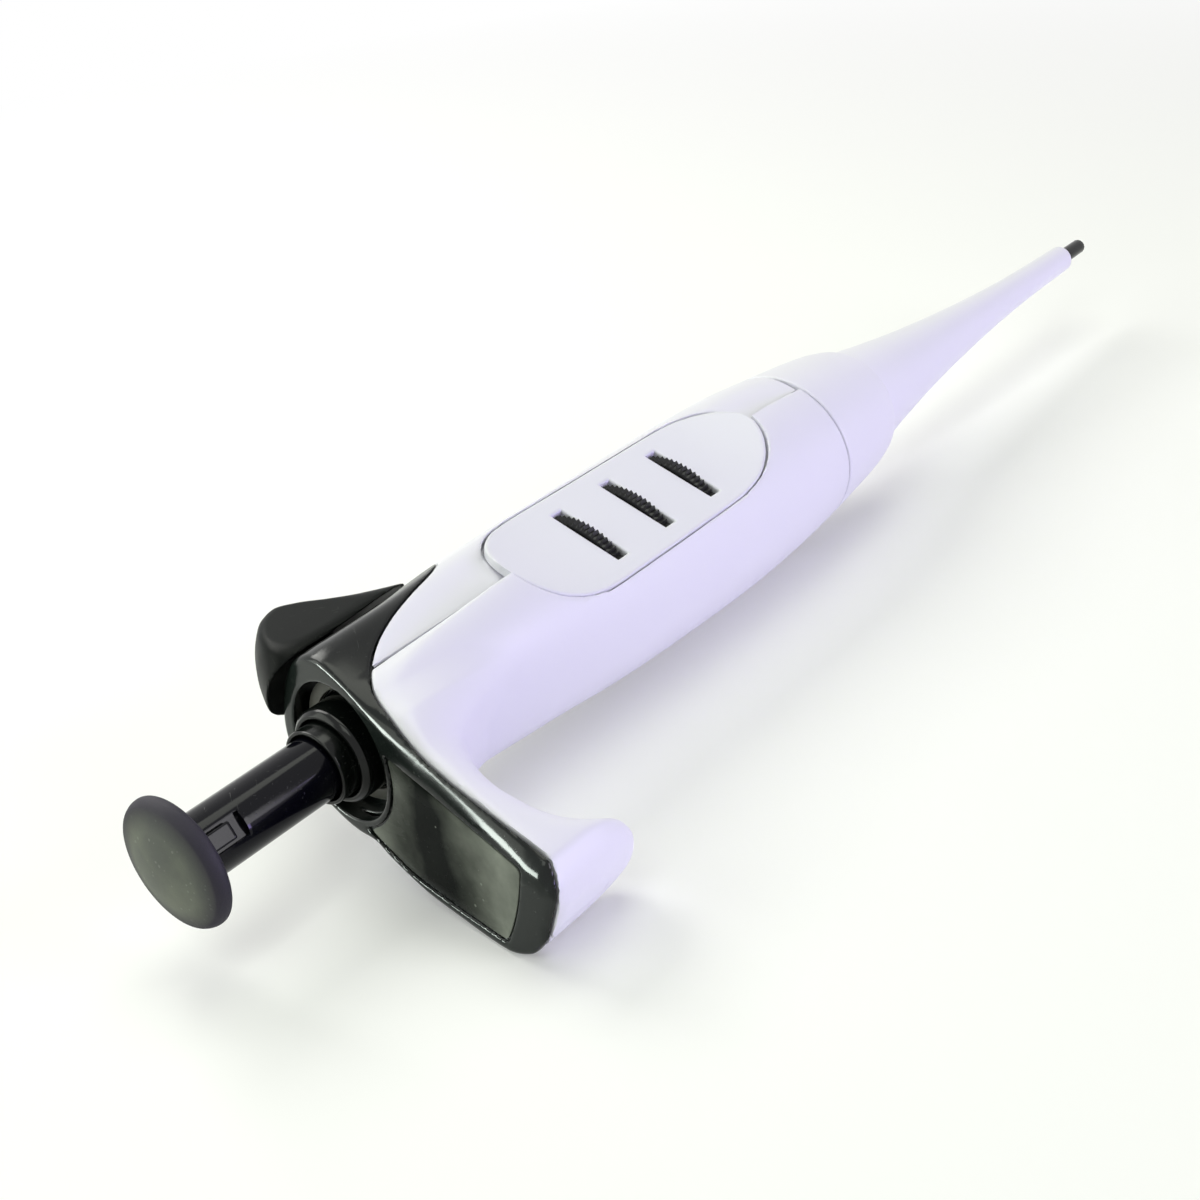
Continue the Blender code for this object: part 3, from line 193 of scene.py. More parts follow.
def blend_min(a: Array, b: Array, size: float | Array) -> Array:
    """The smaller of two fields, with a fillet where they meet."""
    return -blend_max(-a, -b, size)


def oval(u: Array, v: Array, wide: Array, tall: Array, power: Array | float) -> Array:
    """Distance from a rounded oval about the origin, measured along the radius.

    Args:
        u: places across.
        v: places up.
        wide: half width.
        tall: half height.
        power: 2 for an ellipse, more for squarer corners.

    Returns:
        The distance, negative inside.
    """
    r = np.sqrt(u * u + v * v) + SMALL
    q = (np.abs(u / wide) ** power + np.abs(v / tall) ** power) ** (1 / power) + SMALL
    return r - r / q


def tube(p: Spots, radius: float, start: float, end: float) -> Array:
    """A round bar on the plunger's axis."""
    return np.maximum(np.sqrt(p.y * p.y + p.z * p.z) - radius, np.maximum(start - p.x, p.x - end))


def block(p: Spots, low: Triple, high: Triple) -> Array:
    """An upright box between two corners."""
    parts = [np.maximum(a - v, v - b) for v, a, b in zip(p, low, high)]
    return np.maximum(np.maximum(parts[0], parts[1]), parts[2])


def steepest(form: Field, points: Array, step: float = 0.02) -> Array:
    """Gradient of a field.

    Args:
        form: the field.
        points: places, one a row.
        step: how far to each side the field is read.

    Returns:
        One gradient a row.
    """
    rows = []
    for shift in step * np.eye(3):
        ahead, behind = points + shift, points - shift
        rows.append((form(Spots(*ahead.T)) - form(Spots(*behind.T))) / (2 * step))
    return np.stack(rows, 1)


def crossings(values: Array, low: Array, step: float) -> Mesh:
    """Where a field crosses zero along the edges of a grid.

    Args:
        values: the field on the grid.
        low: the grid's lowest corner.
        step: the grid's spacing.

    Returns:
        The crossings, one a row, and the four cells round each, in the order of an outward face.
    """
    inside = values < 0
    size = np.array(values.shape)
    points, cells = [], []
    for axis, unit in enumerate(np.eye(3, dtype=int)):
        near = np.take(inside, np.arange(size[axis] - 1), axis)
        far = np.take(inside, np.arange(1, size[axis]), axis)
        index = np.argwhere(near != far)
        across = [k for k in range(3) if k != axis]
        within = (index[:, across] > 0) & (index[:, across] < size[across] - 1)
        index = index[within.all(1)]
        a, b = values[tuple(index.T)], values[tuple((index + unit).T)]
        points.append(low + step * (index + unit * (a / (a - b))[:, None]))
        shifts = [(1, 1), (0, 1), (0, 0), (1, 0)]
        if axis == 1:
            shifts.reverse()
        around = []
        for shift in shifts:
            cell = index.copy()
            cell[:, across] -= shift
            around.append(np.ravel_multi_index(cell.T, size))
        four = np.stack(around, 1)
        four[a > 0] = four[a > 0][:, ::-1]
        cells.append(four)
    return np.concatenate(points), np.concatenate(cells)


def skin(form: Field, space: Box, step: float, pull: float = 0.06) -> Mesh:
    """Mesh of a field's zero surface by dual contouring, which keeps its edges sharp.

    Args:
        form: field that is negative inside the solid.
        space: lowest and highest corner of the space that holds it.
        step: cell size.
        pull: how strongly a cell's point is held at the middle of its crossings.

    Returns:
        The points and the four-sided faces.
    """
    low = np.array(space[0])
    counts = [int(math.ceil((b - a) / step)) + 1 for a, b in zip(*space)]
    lines = [a + step * np.arange(n) for a, n in zip(low, counts)]
    values = form(Spots(*np.meshgrid(*lines, indexing="ij")))
    points, faces = crossings(values, low, step)
    lean = steepest(form, points)
    lean /= np.linalg.norm(lean, axis=1)[:, None] + TINY
    used, where = np.unique(faces, return_inverse=True)
    where = where.reshape(faces.shape)

    def gather(amount: Array) -> Array:
        """Sum of a per-crossing amount over each cell."""
        return np.bincount(where.ravel(), np.repeat(amount, 4), len(used))

    total = gather(np.ones(len(points)))
    middle = np.stack([gather(points[:, k]) for k in range(3)], 1) / total[:, None]
    push = (lean * points).sum(1)
    square = np.empty((len(used), 3, 3))
    right = np.empty((len(used), 3))
    for i in range(3):
        right[:, i] = gather(lean[:, i] * push)
        for j in range(3):
            square[:, i, j] = gather(lean[:, i] * lean[:, j])
    right -= np.einsum("nij,nj->ni", square, middle)
    spots = middle + np.linalg.solve(square + pull * np.eye(3), right[..., None])[..., 0]
    corner = low + step * np.stack(np.unravel_index(used, values.shape), 1)
    spots = np.clip(spots, corner, corner + step)
    for _ in range(2):
        slope = steepest(form, spots)
        reach = form(Spots(*spots.T))[:, None] * slope / ((slope * slope).sum(1)[:, None] + SMALL)
        spots -= np.clip(reach, -step / 3, step / 3)
    return spots, where


def loop_faces(rows: int, count: int, closed: bool = False) -> Array:
    """Four-sided faces between loops of points.

    Args:
        rows: number of loops.
        count: points in each.
        closed: whether the last loop joins the first.

    Returns:
        The faces, one a row.
    """
    first = np.arange(rows if closed else rows - 1)[:, None]
    after = (first + 1) % rows * count
    k = np.arange(count)
    beside = (k + 1) % count
    return np.stack([first * count + k, first * count + beside, after + beside, after + k], 2).reshape(-1, 4)


def round_axis(line: Array, turn: Array) -> Array:
    """Points of (x, radius) rows turned about the plunger's axis.

    Args:
        line: x and radius of each row, the radius one for all angles or one for each.
        turn: angles.

    Returns:
        The points, row after row.
    """
    x, radius = line
    radius = np.broadcast_to(radius, (len(x), len(turn)))
    spots = [np.repeat(x, len(turn)), (radius * np.cos(turn)).ravel(), (radius * np.sin(turn)).ravel()]
    return np.stack(spots, 1)


def turned(outline: Pairs, count: int, closed: bool = False) -> Mesh:
    """Mesh of a profile turned about the plunger's axis.

    Args:
        outline: (x, radius) pairs, in either sense.
        count: points round the axis.
        closed: whether the profile closes on itself, as a ring's does.

    Returns:
        The points and the four-sided faces.
    """
    area = sum(a[0] * b[1] - b[0] * a[1] for a, b in zip(outline, list(outline[1:]) + [outline[0]]))
    line = np.array(outline if area < 0 else list(reversed(outline)), float)
    turn = np.linspace(0, 2 * math.pi, count, endpoint=False)
    return round_axis((line[:, 0], line[:, 1:]), turn), loop_faces(len(line), count, closed)


def softened(corners: Corners, steps: int = 4) -> list[tuple[float, float]]:
    """An outline whose corners are rounded.

    Args:
        corners: (x, radius from the axis, corner rounding) of each corner.
        steps: points on each rounded corner, less one.

    Returns:
        The outline's points.
    """
    made: list[tuple[float, float]] = []
    for i, (x, r, rounding) in enumerate(corners):
        if rounding <= 0 or i in (0, len(corners) - 1):
            made.append((x, r))
            continue
        here = Vector((x, r))
        before = Vector(corners[i - 1][:2]) - here
        after = Vector(corners[i + 1][:2]) - here
        reach = min(rounding, before.length / 2.01, after.length / 2.01)
        start, end = here + before.normalized() * reach, here + after.normalized() * reach
        for k in range(steps + 1):
            t = k / steps
            spot = start * (1 - t) ** 2 + here * (2 * t * (1 - t)) + end * t * t
            made.append((spot.x, spot.y))
    return made


def drop_islands(bm: bmesh.types.BMesh, share: float = 0.02) -> None:
    """Delete stray islands of a mesh.

    Args:
        bm: the mesh.
        share: share of the faces under which an island goes.
    """
    bm.faces.index_update()
    bm.faces.ensure_lookup_table()
    seen = bytearray(len(bm.faces))
    stray = []
    for start in range(len(bm.faces)):
        if seen[start]:
            continue
        seen[start] = 1
        island = [bm.faces[start]]
        for face in island:
            for edge in face.edges:
                for beside in edge.link_faces:
                    if not seen[beside.index]:
                        seen[beside.index] = 1
                        island.append(beside)
        if len(island) < share * len(bm.faces):
            stray += island
    bmesh.ops.delete(bm, geom=stray, context="FACES")


class Signal:
    """One output of a shader tree that Python expressions can use."""

    def __init__(self, tree: bpy.types.NodeTree, socket: bpy.types.NodeSocket) -> None:
        """Wrap a socket of a tree."""
        self.tree = tree
        self.socket = socket

    def math(self, operation: str, other: "Signal | float" = 0.0, swap: bool = False) -> "Signal":
        """A Math node on this signal and another value.

        Args:
            operation: the Math node's operation.
            other: second operand.
            swap: put the other operand first.

        Returns:
            The node's output.
        """
        node = self.tree.nodes.new("ShaderNodeMath")
        node.operation = operation
        operands = (other, self) if swap else (self, other)
        for slot, value in zip(node.inputs, operands):
            if isinstance(value, Signal):
                self.tree.links.new(value.socket, slot)
            else:
                slot.default_value = value
        return Signal(self.tree, node.outputs[0])

    def __add__(self, other: "Signal | float") -> "Signal":
        """Sum."""
        return self.math("ADD", other)

    __radd__ = __add__

    def __mul__(self, other: "Signal | float") -> "Signal":
        """Product."""
        return self.math("MULTIPLY", other)

    __rmul__ = __mul__

    def __sub__(self, other: "Signal | float") -> "Signal":
        """Difference."""
        return self.math("SUBTRACT", other)

    def __rsub__(self, other: "Signal | float") -> "Signal":
        """Difference from a value."""
        return self.math("SUBTRACT", other, swap=True)

    def above(self, level: float, soft: float) -> "Signal":
        """0 below a level and 1 above it, with a soft step."""
        return ((self - level) * (1 / soft)).math("MAXIMUM", 0.0).math("MINIMUM", 1.0)


class Tree:
    """The node tree of a material or of the world."""

    def __init__(self, tree: bpy.types.NodeTree) -> None:
        """Wrap the tree."""
        self.tree = tree

    def node(self, kind: str, settings: dict | None = None, **sockets: object) -> bpy.types.Node:
        """Any node, with its settings and the values or links of its sockets.

        Args:
            kind: the node's type.
            settings: attributes to set first.
            sockets: value, Signal or socket for each named input, with _ for a space.

        Returns:
            The node.
        """
        node = self.tree.nodes.new(kind)
        for key, value in (settings or {}).items():
            setattr(node, key, value)
        for key, value in sockets.items():
            self.feed(node.inputs[key.replace("_", " ")], value)
        return node

    def feed(self, slot: bpy.types.NodeSocket, value: object) -> None:
        """Link or set one input.

        Args:
            slot: the input.
            value: a Signal, a socket or a plain value.
        """
        if isinstance(value, Signal):
            value = value.socket
        if isinstance(value, bpy.types.NodeSocket):
            self.tree.links.new(value, slot)
        else:
            slot.default_value = value

    def signal(self, node: bpy.types.Node, name: str) -> Signal:
        """One output of a node, ready for expressions."""
        return Signal(self.tree, node.outputs[name])

    def backdrop(self) -> Signal:
        """1 for the rays that see the white background: the camera's, mirrored and refracted ones.

        Returns:
            The share.
        """
        path = self.node("ShaderNodeLightPath")
        rays = [self.signal(path, f"Is {kind} Ray") for kind in ("Camera", "Glossy", "Transmission")]
        return (rays[0] + rays[1] + rays[2]).math("MINIMUM", 1.0)


class Shader(Tree):
    """The node tree of one material, with its Principled shader."""

    def __init__(self, name: str) -> None:
        """Start a material with one Principled shader.

        Args:
            name: the material's name.
        """
        self.material = bpy.data.materials.new(name)
        self.material.use_nodes = True
        super().__init__(self.material.node_tree)
        self.surface = self.tree.nodes["Principled BSDF"]

    def place(self, stretch: Triple = (1.0, 1.0, 1.0)) -> bpy.types.NodeSocket:
        """The piece's own coordinates.

        Args:
            stretch: factor along each axis.

        Returns:
            The coordinates' socket.
        """
        spot = self.node("ShaderNodeTexCoord").outputs["Object"]
        if stretch == (1.0, 1.0, 1.0):
            return spot
        return self.node("ShaderNodeMapping", Vector=spot, Scale=stretch).outputs["Vector"]

    def along(self, axis: str) -> Signal:
        """Place along one axis, in metres."""
        return self.signal(self.node("ShaderNodeSeparateXYZ", Vector=self.place()), axis)

    def noise(self, scale: float, detail: float = 3.0, stretch: Triple = (1.0, 1.0, 1.0)) -> Signal:
        """Soft noise from 0 to 1."""
        made = self.node("ShaderNodeTexNoise", Vector=self.place(stretch), Scale=scale, Detail=detail)
        return self.signal(made, "Fac")

    def specks(self, scale: float, size: float, share: float) -> Signal:
        """Small scattered specks.

        Args:
            scale: cells per metre.
            size: largest speck, as a share of a cell.
            share: share of the cells that hold one.

        Returns:
            1 on a speck, 0 elsewhere.
        """
        made = self.node("ShaderNodeTexVoronoi", Vector=self.place(), Scale=scale)
        split = self.node("ShaderNodeSeparateColor", Color=made.outputs["Color"])
        chance = self.signal(split, "Red").above(1 - share, 0.02)
        spread = self.signal(split, "Green") * size
        return (spread - self.signal(made, "Distance")).above(0.0, 0.03) * chance

    def scratches(self, scale: float, angle: float, share: float) -> Signal:
        """Fine straight scratches along one direction.

        Args:
            scale: fineness.
            angle: direction in the xy plane, in radians.
            share: how much of the surface they cover.

        Returns:
            1 on a scratch.
        """
        aside = self.node("ShaderNodeMapping", Vector=self.place(), Rotation=(0.0, 0.3, angle))
        long = self.node("ShaderNodeMapping", Vector=aside.outputs["Vector"], Scale=(0.03, 1.0, 1.0))
        made = self.node("ShaderNodeTexNoise", Vector=long.outputs["Vector"], Scale=scale, Detail=2.0)
        return self.signal(made, "Fac").above(1 - share, 0.02)

    def mix(self, share: Signal | float, low: object, high: object) -> bpy.types.NodeSocket:
        """Colour between two colours.

        Args:
            share: 0 for the first colour, 1 for the second.
            low: first colour, as three numbers or a socket.
            high: second colour.

        Returns:
            The mixed colour's socket.
        """
        node = self.node("ShaderNodeMix", {"data_type": "RGBA"})
        self.feed(node.inputs["Factor"], share)
        for slot, value in ((node.inputs[6], low), (node.inputs[7], high)):
            self.feed(slot, (*value, 1.0) if isinstance(value, tuple) else value)
        return node.outputs[2]

    def bump(self, height: Signal, depth: float) -> None:
        """Bump the surface by a height from 0 to 1 of `depth` metres."""
        made = self.node("ShaderNodeBump", Height=height, Distance=depth)
        self.feed(self.surface.inputs["Normal"], made.outputs["Normal"])

    def paint(self, **sockets: object) -> bpy.types.Material:
        """Set the Principled shader's inputs.

        Args:
            sockets: value, Signal or socket for each named input, with _ for a space.

        Returns:
            The material.
        """
        for key, value in sockets.items():
            full = (*value, 1.0) if isinstance(value, tuple) else value
            self.feed(self.surface.inputs[key.replace("_", " ")], full)
        return self.material


@dataclass(frozen=True)
class MouldedPlastic:
    """Satin moulded plastic with a fine grain, faint mottling and a few dirt specks."""

    name: str
    colour: Triple
    shade: Triple
    dirt: Triple
    roughness: float = 0.4
    dirt_share: float = 0.05
    shine: float = 0.5
    cloud_scale: float = 38.0
    dirt_scale: float = 330.0
    dirt_size: float = 0.16
    grain_scale: float = 2600.0
    grain_depth: float = 0.00001

    def material(self) -> bpy.types.Material:
        """Build the finish.

        Returns:
            Its material.
        """
        shader = Shader(self.name)
        cloud = shader.noise(self.cloud_scale, 4.0)
        body = shader.mix(cloud.above(0.35, 0.4), self.colour, self.shade)
        specks = shader.specks(self.dirt_scale, self.dirt_size, self.dirt_share)
        dusty = shader.mix(specks * 0.75, body, self.dirt)
        shader.bump(shader.noise(self.grain_scale, 2.0), self.grain_depth)
        rough = cloud * 0.1 + (self.roughness - 0.05) + specks * 0.2
        return shader.paint(Base_Color=dusty, Roughness=rough, Specular_IOR_Level=self.shine)


@dataclass(frozen=True)
class GlossPlastic:
    """Dark gloss plastic with smudges, fine scratches and dust, and a patchy painted reflection that lightens
    it towards its ends.
    """

    name: str
    colour: Triple
    roughness: float = 0.1
    smudge: float = 0.16
    dust: Triple = (0.30, 0.32, 0.29)
    dust_share: float = 0.1
    dust_weight: float = 0.5
    dust_scale: float = 620.0
    dust_size: float = 0.2
    smear_scale: float = 90.0
    smear_stretch: Triple = (1.0, 1.0, 2.2)
    scratch_depth: float = 0.000003
    fine_scale: float = 1800.0
    scratch_runs: Corners = ((2600.0, 0.6, 0.30), (2100.0, -0.9, 0.28))
    shine: float = 0.2
    # Colour of the painted reflection towards the ends; black for none.
    painted_reflection: Triple = (0.0, 0.0, 0.0)
    reflection_scale: float = 75.0
    reflection_middle: float = -0.0085
    reflection_reach: float = 0.012

    def with_painted_reflection(self, shader: Shader) -> object:
        """The plastic's colour under its painted reflection, a patchy pale tint that grows away from its
        middle along Y.

        Args:
            shader: the material's shader.

        Returns:
            A colour, or the socket of one.
        """
        if not any(self.painted_reflection):
            return self.colour
        # Painted reflection: a pale grey-green mixed in, in patches, more the further from the middle along
        # Y.
        away = (shader.along("Y") - self.reflection_middle).math("ABSOLUTE")
        cloud = shader.noise(self.reflection_scale, 5.0).above(0.4, 0.35)
        outward = (away + cloud * 0.004).above(0.004, self.reflection_reach)
        share = outward * (cloud * 0.6 + 0.4) + cloud * 0.015
        return shader.mix(share.math("MINIMUM", 1.0), self.colour, self.painted_reflection)

    def material(self) -> bpy.types.Material:
        """Build the finish.

        Returns:
            Its material.
        """
        shader = Shader(self.name)
        smear = shader.noise(self.smear_scale, 5.0, self.smear_stretch).above(0.42, 0.35)
        specks = shader.specks(self.dust_scale, self.dust_size, self.dust_share)
        first, second = (shader.scratches(*run) for run in self.scratch_runs)
        lines = first + second
        dusty = (specks * self.dust_weight + lines * 0.04).math("MINIMUM", 1.0)
        colour = shader.mix(dusty, self.with_painted_reflection(shader), self.dust)
        shader.bump(lines + shader.noise(self.fine_scale, 2.0) * 0.7, self.scratch_depth)
        rough = smear * self.smudge + self.roughness + specks * 0.4 + lines * 0.05
        return shader.paint(Base_Color=colour, Roughness=rough, Specular_IOR_Level=self.shine)


@dataclass(frozen=True)
class SoftTouch:
    """Matte rubbery coating with a fine grain, pale dust and darker rubbed patches."""

    name: str
    colour: Triple
    worn: Triple
    dust: Triple
    rim: Triple
    rim_start: float = -0.1227
    rim_blend: float = 0.0009
    roughness: float = 0.6
    shine: float = 0.35
    patch_scale: float = 150.0
    fine_dust: Triple = (1500.0, 0.34, 0.3)
    large_dust: Triple = (560.0, 0.17, 0.3)
    grain_scale: float = 5200.0
    grain_depth: float = 0.00003

    def material(self) -> bpy.types.Material:
        """Build the finish.

        Returns:
            Its material.
        """
        shader = Shader(self.name)
        patches = shader.noise(self.patch_scale, 5.0).above(0.38, 0.3)
        body = shader.mix(patches, self.worn, self.colour)
        fine, large = shader.specks(*self.fine_dust), shader.specks(*self.large_dust)
        dusty = shader.mix((fine * 0.2 + large * 0.55).math("MINIMUM", 1.0), body, self.dust)
        colour = shader.mix(shader.along("X").above(self.rim_start, self.rim_blend), dusty, self.rim)
        shader.bump(shader.noise(self.grain_scale, 2.0), self.grain_depth)
        rough = patches * 0.12 + self.roughness
        return shader.paint(Base_Color=colour, Roughness=rough, Specular_IOR_Level=self.shine)


@dataclass(frozen=True)
class GroundMetal:
    """Ground or drawn metal with fine lines round it."""

    name: str
    colour: Triple
    roughness: float = 0.25
    line_scale: float = 300.0
    stretch: Triple = (30.0, 1.0, 1.0)
    line_depth: float = 0.000005

    def material(self) -> bpy.types.Material:
        """Build the finish.

        Returns:
            Its material.
        """
        shader = Shader(self.name)
        lines = shader.noise(self.line_scale, 3.0, self.stretch)
        shader.bump(lines, self.line_depth)
        return shader.paint(Base_Color=self.colour, Metallic=1.0, Roughness=lines * 0.15 + self.roughness)


class Finishes:
    """Every finish on the pipette, each made once."""

    def __init__(self) -> None:
        """Make the finishes."""
        self.white = MouldedPlastic(
            "white_plastic", (0.75, 0.74, 0.81), (0.73, 0.725, 0.79), (0.22, 0.20, 0.18), dirt_share=0.012
        ).material()
        self.panel = MouldedPlastic(
            "panel_plastic", (0.73, 0.73, 0.78), (0.71, 0.71, 0.76), (0.25, 0.23, 0.22), 0.45, 0.02
        ).material()
        self.black = GlossPlastic(
            "gloss_black", (0.003, 0.004, 0.0035), 0.12, dust_share=0.05, shine=0.24
        ).material()
        self.stem = GlossPlastic(
            "stem_black", (0.002, 0.002, 0.004), 0.08, 0.05, dust_share=0.01, shine=0.18
        ).material()
        self.lobe = GlossPlastic(
            "lobe_black", (0.006, 0.007, 0.0065), 0.34, 0.1, dust_share=0.02, shine=0.045
        ).material()
        self.wheel = MouldedPlastic(
            "wheel_black", (0.009, 0.009, 0.009), (0.015, 0.015, 0.015), (0.1, 0.1, 0.09), 0.35, 0.1, 0.3
        ).material()
        self.button = SoftTouch(
            "soft_touch", (0.140, 0.152, 0.120), (0.085, 0.093, 0.080), (0.36, 0.38, 0.34),
            (0.012, 0.010, 0.018),
        ).material()
        # Label film: the pale tint towards its ends is a painted reflection.
        self.film = GlossPlastic(
            "label_film", (0.004, 0.006, 0.005), 0.16, 0.2, dust_share=0.16, dust_weight=0.6,
            scratch_depth=0.000005, shine=0.03, painted_reflection=(0.42, 0.45, 0.39),
        ).material()
        self.washer = MouldedPlastic(
            "grey_washer", (0.13, 0.13, 0.11), (0.09, 0.09, 0.08), (0.05, 0.05, 0.05), 0.5, 0.1
        ).material()
        self.steel = GroundMetal("ground_steel", (0.60, 0.61, 0.63)).material()
        self.amber = MouldedPlastic(
            "amber_plastic", (0.62, 0.50, 0.28), (0.55, 0.43, 0.22), (0.3, 0.2, 0.1)
        ).material()


@dataclass(frozen=True)
class Maker:
    """Turns points and faces into pieces that ride on a body."""

    matrix: Matrix

    def piece(
        self,
        name: str,
        mesh: Mesh,
        finish: bpy.types.Material,
        body: Body,
        replaces: Sequence[str] = (),
        crease: float = 40.0,
    ) -> bpy.types.Object:
        """Make one piece, dress it and mount it.

        Args:
            name: the piece's name.
            mesh: its points in millimetres, in the pipette's frame, and its faces.
            finish: its material.
            body: the body that it rides on.
            replaces: CAD nodes that it stands for.
            crease: angle in degrees from which an edge is sharp.

        Returns:
            The piece.
        """
        spots, faces = mesh
        data = bpy.data.meshes.new(name)
        data.from_pydata((spots / MM).tolist(), [], faces.tolist())
        bm = bmesh.new()
        bm.from_mesh(data)
        bmesh.ops.remove_doubles(bm, verts=bm.verts, dist=1e-6)
        bmesh.ops.dissolve_degenerate(bm, edges=bm.edges, dist=1e-7)
        drop_islands(bm)
        bm.transform(self.matrix)
        bm.to_mesh(data)
        bm.free()
        data.shade_smooth()
        data.set_sharp_from_angle(angle=math.radians(crease))
        data.materials.append(finish)
        thing = bpy.data.objects.new(name, data)
        bpy.context.scene.collection.objects.link(thing)
        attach(thing, body.value)
        if replaces:
            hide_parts(*replaces)
        log.info("%s: %d faces", thing.name, len(data.polygons))
        return thing

    def carry(self, names: Sequence[str], finish: bpy.types.Material) -> None:
        """Dress CAD nodes that stay.

        Args:
            names: the nodes.
            finish: their material.
        """
        for name in names:
            node = frame["nodes"][name]
            node.data.materials.clear()
            node.data.materials.append(finish)
            log.info("%s: kept", name)


@dataclass
class Shape:
    """Outer form that the cap and the two grip halves share."""

    half_width: Pairs = (
        (20.0, 12.5), (33.0, 12.5), (44.0, 12.9), (59.0, 14.1), (83.0, 14.9), (107.0, 15.05), (121.0, 14.6),
        (133.4, 13.6), (142.0, 12.7), (148.0, 11.9), (151.5, 11.1), (153.8, 10.1),
    )
    hook_slim: Pairs = (
        (20.0, 0.0), (32.0, 0.1), (40.0, 0.8), (58.0, 0.8), (75.0, 0.2), (90.0, 0.0), (155.0, 0.0),
    )
    front: Pairs = (
        (20.0, 11.9), (28.0, 12.4), (33.4, 13.4), (46.0, 14.2), (59.3, 14.9), (83.0, 14.2), (107.0, 13.9),
        (121.0, 13.8), (133.4, 12.75), (142.0, 11.9), (148.0, 11.2), (153.8, 10.0),
    )
    back: Pairs = (
        (20.0, 11.0), (44.0, 12.0), (59.0, 13.3), (83.0, 15.6), (107.0, 16.9), (121.0, 16.4), (133.4, 15.1),
        (142.0, 13.4), (148.0, 12.2), (153.8, 10.2),
    )
    squareness: Pairs = ((20.0, 2.7), (33.0, 2.5), (46.0, 2.2), (60.0, 2.05), (155.0, 2.0))
    under: Pairs = (
        (0.0, 78.0), (6.0, 66.0), (10.0, 52.0), (12.5, 42.5), (14.5, 38.4), (18.0, 36.2), (21.0, 35.0),
        (24.0, 34.5), (28.0, 34.9), (32.0, 36.3), (34.5, 38.2), (36.3, 40.4), (37.5, 41.9), (38.5, 42.3),
        (39.5, 41.4), (40.4, 38.8), (40.8, 36.0),
    )
    arm_front: Pairs = (
        (0.0, 11.0), (12.0, 11.9), (33.0, 12.4), (36.6, 12.2), (38.4, 11.0), (39.8, 9.4), (40.8, 7.0),
    )
    arm_back: Pairs = (
        (0.0, -10.6), (10.0, -9.9), (18.0, -9.6), (27.0, -7.7), (35.0, -5.4), (38.4, -3.2), (40.0, 0.3),
        (40.8, 3.6),
    )
    arm_squareness: Pairs = ((0.0, 2.0), (10.0, 2.2), (16.0, 2.7), (24.0, 3.4), (36.0, 3.4), (40.8, 2.6))
    edge: Pairs = (
        (-44.0, 23.4), (-40.8, 24.0), (-39.6, 24.7), (-38.2, 25.4), (-36.8, 25.8), (-32.5, 25.9),
        (-25.7, 26.3), (-18.4, 27.0), (-10.6, 28.2), (-6.5, 29.2), (-2.9, 30.5), (0.2, 33.2), (2.9, 37.0),
        (5.1, 41.8), (6.9, 47.4), (8.6, 53.6), (10.6, 57.2), (13.0, 58.2), (24.0, 58.4),
    )
    arm_top: float = 14.0
    arm_reach: float = 40.8
    arm_root: float = 2.0
    fillet: float = 1.2
    front_fillet: float = 8.0
    fillet_rise: Span = (3.0, 6.0)
    fillet_out: Span = (2.0, 7.0)
    fall: float = 0.2
    fall_start: float = 29.0
    fall_length: float = 25.0
    fall_in: Span = (-26.0, 8.0)
    top: float = 28.4
    slope: float = 0.137
    edge_round: float = 0.9
    ridge: Span = (12.3, 0.03)
    slant_drop: float = 2.3
    slant_fall: float = 1.65
    slant_round: float = 1.1
    slant_out: Span = (0.0, 14.0)
    end_roll: float = 2.2
    end_start: float = 35.3
    end_fall: Span = (0.12, 0.022)
    end_out: Span = (31.0, 4.0)
    end_rise: Span = (-2.0, 5.0)
    bevel: float = 3.3
    bevel_lean: Span = (0.72, 0.69)
    bevel_round: float = 2.5

    def __post_init__(self) -> None:
        """Sample the curves once."""
        names = ("half_width", "hook_slim", "front", "back", "squareness", "under", "arm_front", "arm_back",
                 "arm_squareness", "edge")
        self.curves = {name: Curve(getattr(self, name)) for name in names}

    def side(self, x: Array, y: Array) -> Array:
        """Half width of the barrel, which is slimmer beside the hook."""
        return self.curves["half_width"](x) - np.where(y < 0, self.curves["hook_slim"](x), 0.0)

    def grip(self, p: Spots) -> Array:
        """The grip's barrel."""
        tall = np.where(p.z > 0, self.curves["front"](p.x), self.curves["back"](p.x))
        return oval(p.y, p.z, self.side(p.x, p.y), tall, self.curves["squareness"](p.x))

    def arm(self, p: Spots) -> Array:
        """The arm and the finger hook at its end.

        Args:
            p: places.

        Returns:
            Their field.
        """
        c = self.curves
        out = np.clip(-p.y, 0.0, self.arm_reach)
        under, front, back = c["under"](out), c["arm_front"](out), c["arm_back"](out)
        past = np.clip(p.x - self.fall_start, 0.0, self.fall_length)
        front = front - self.fall * ramp(-out, *self.fall_in) * past
        wide, tall = (under - self.arm_top) / 2, (front - back) / 2
        across, up = p.x - (under + self.arm_top) / 2, p.z - (front + back) / 2
        body = oval(across, up, wide, tall, c["arm_squareness"](out))
        bevel = (p.x - under) * self.bevel_lean[0] + (p.z - front) * self.bevel_lean[1] + self.bevel
        body = blend_max(body, bevel, self.bevel_round)
        return np.maximum(body, np.maximum(-p.y - self.arm_reach, p.y - self.arm_root))

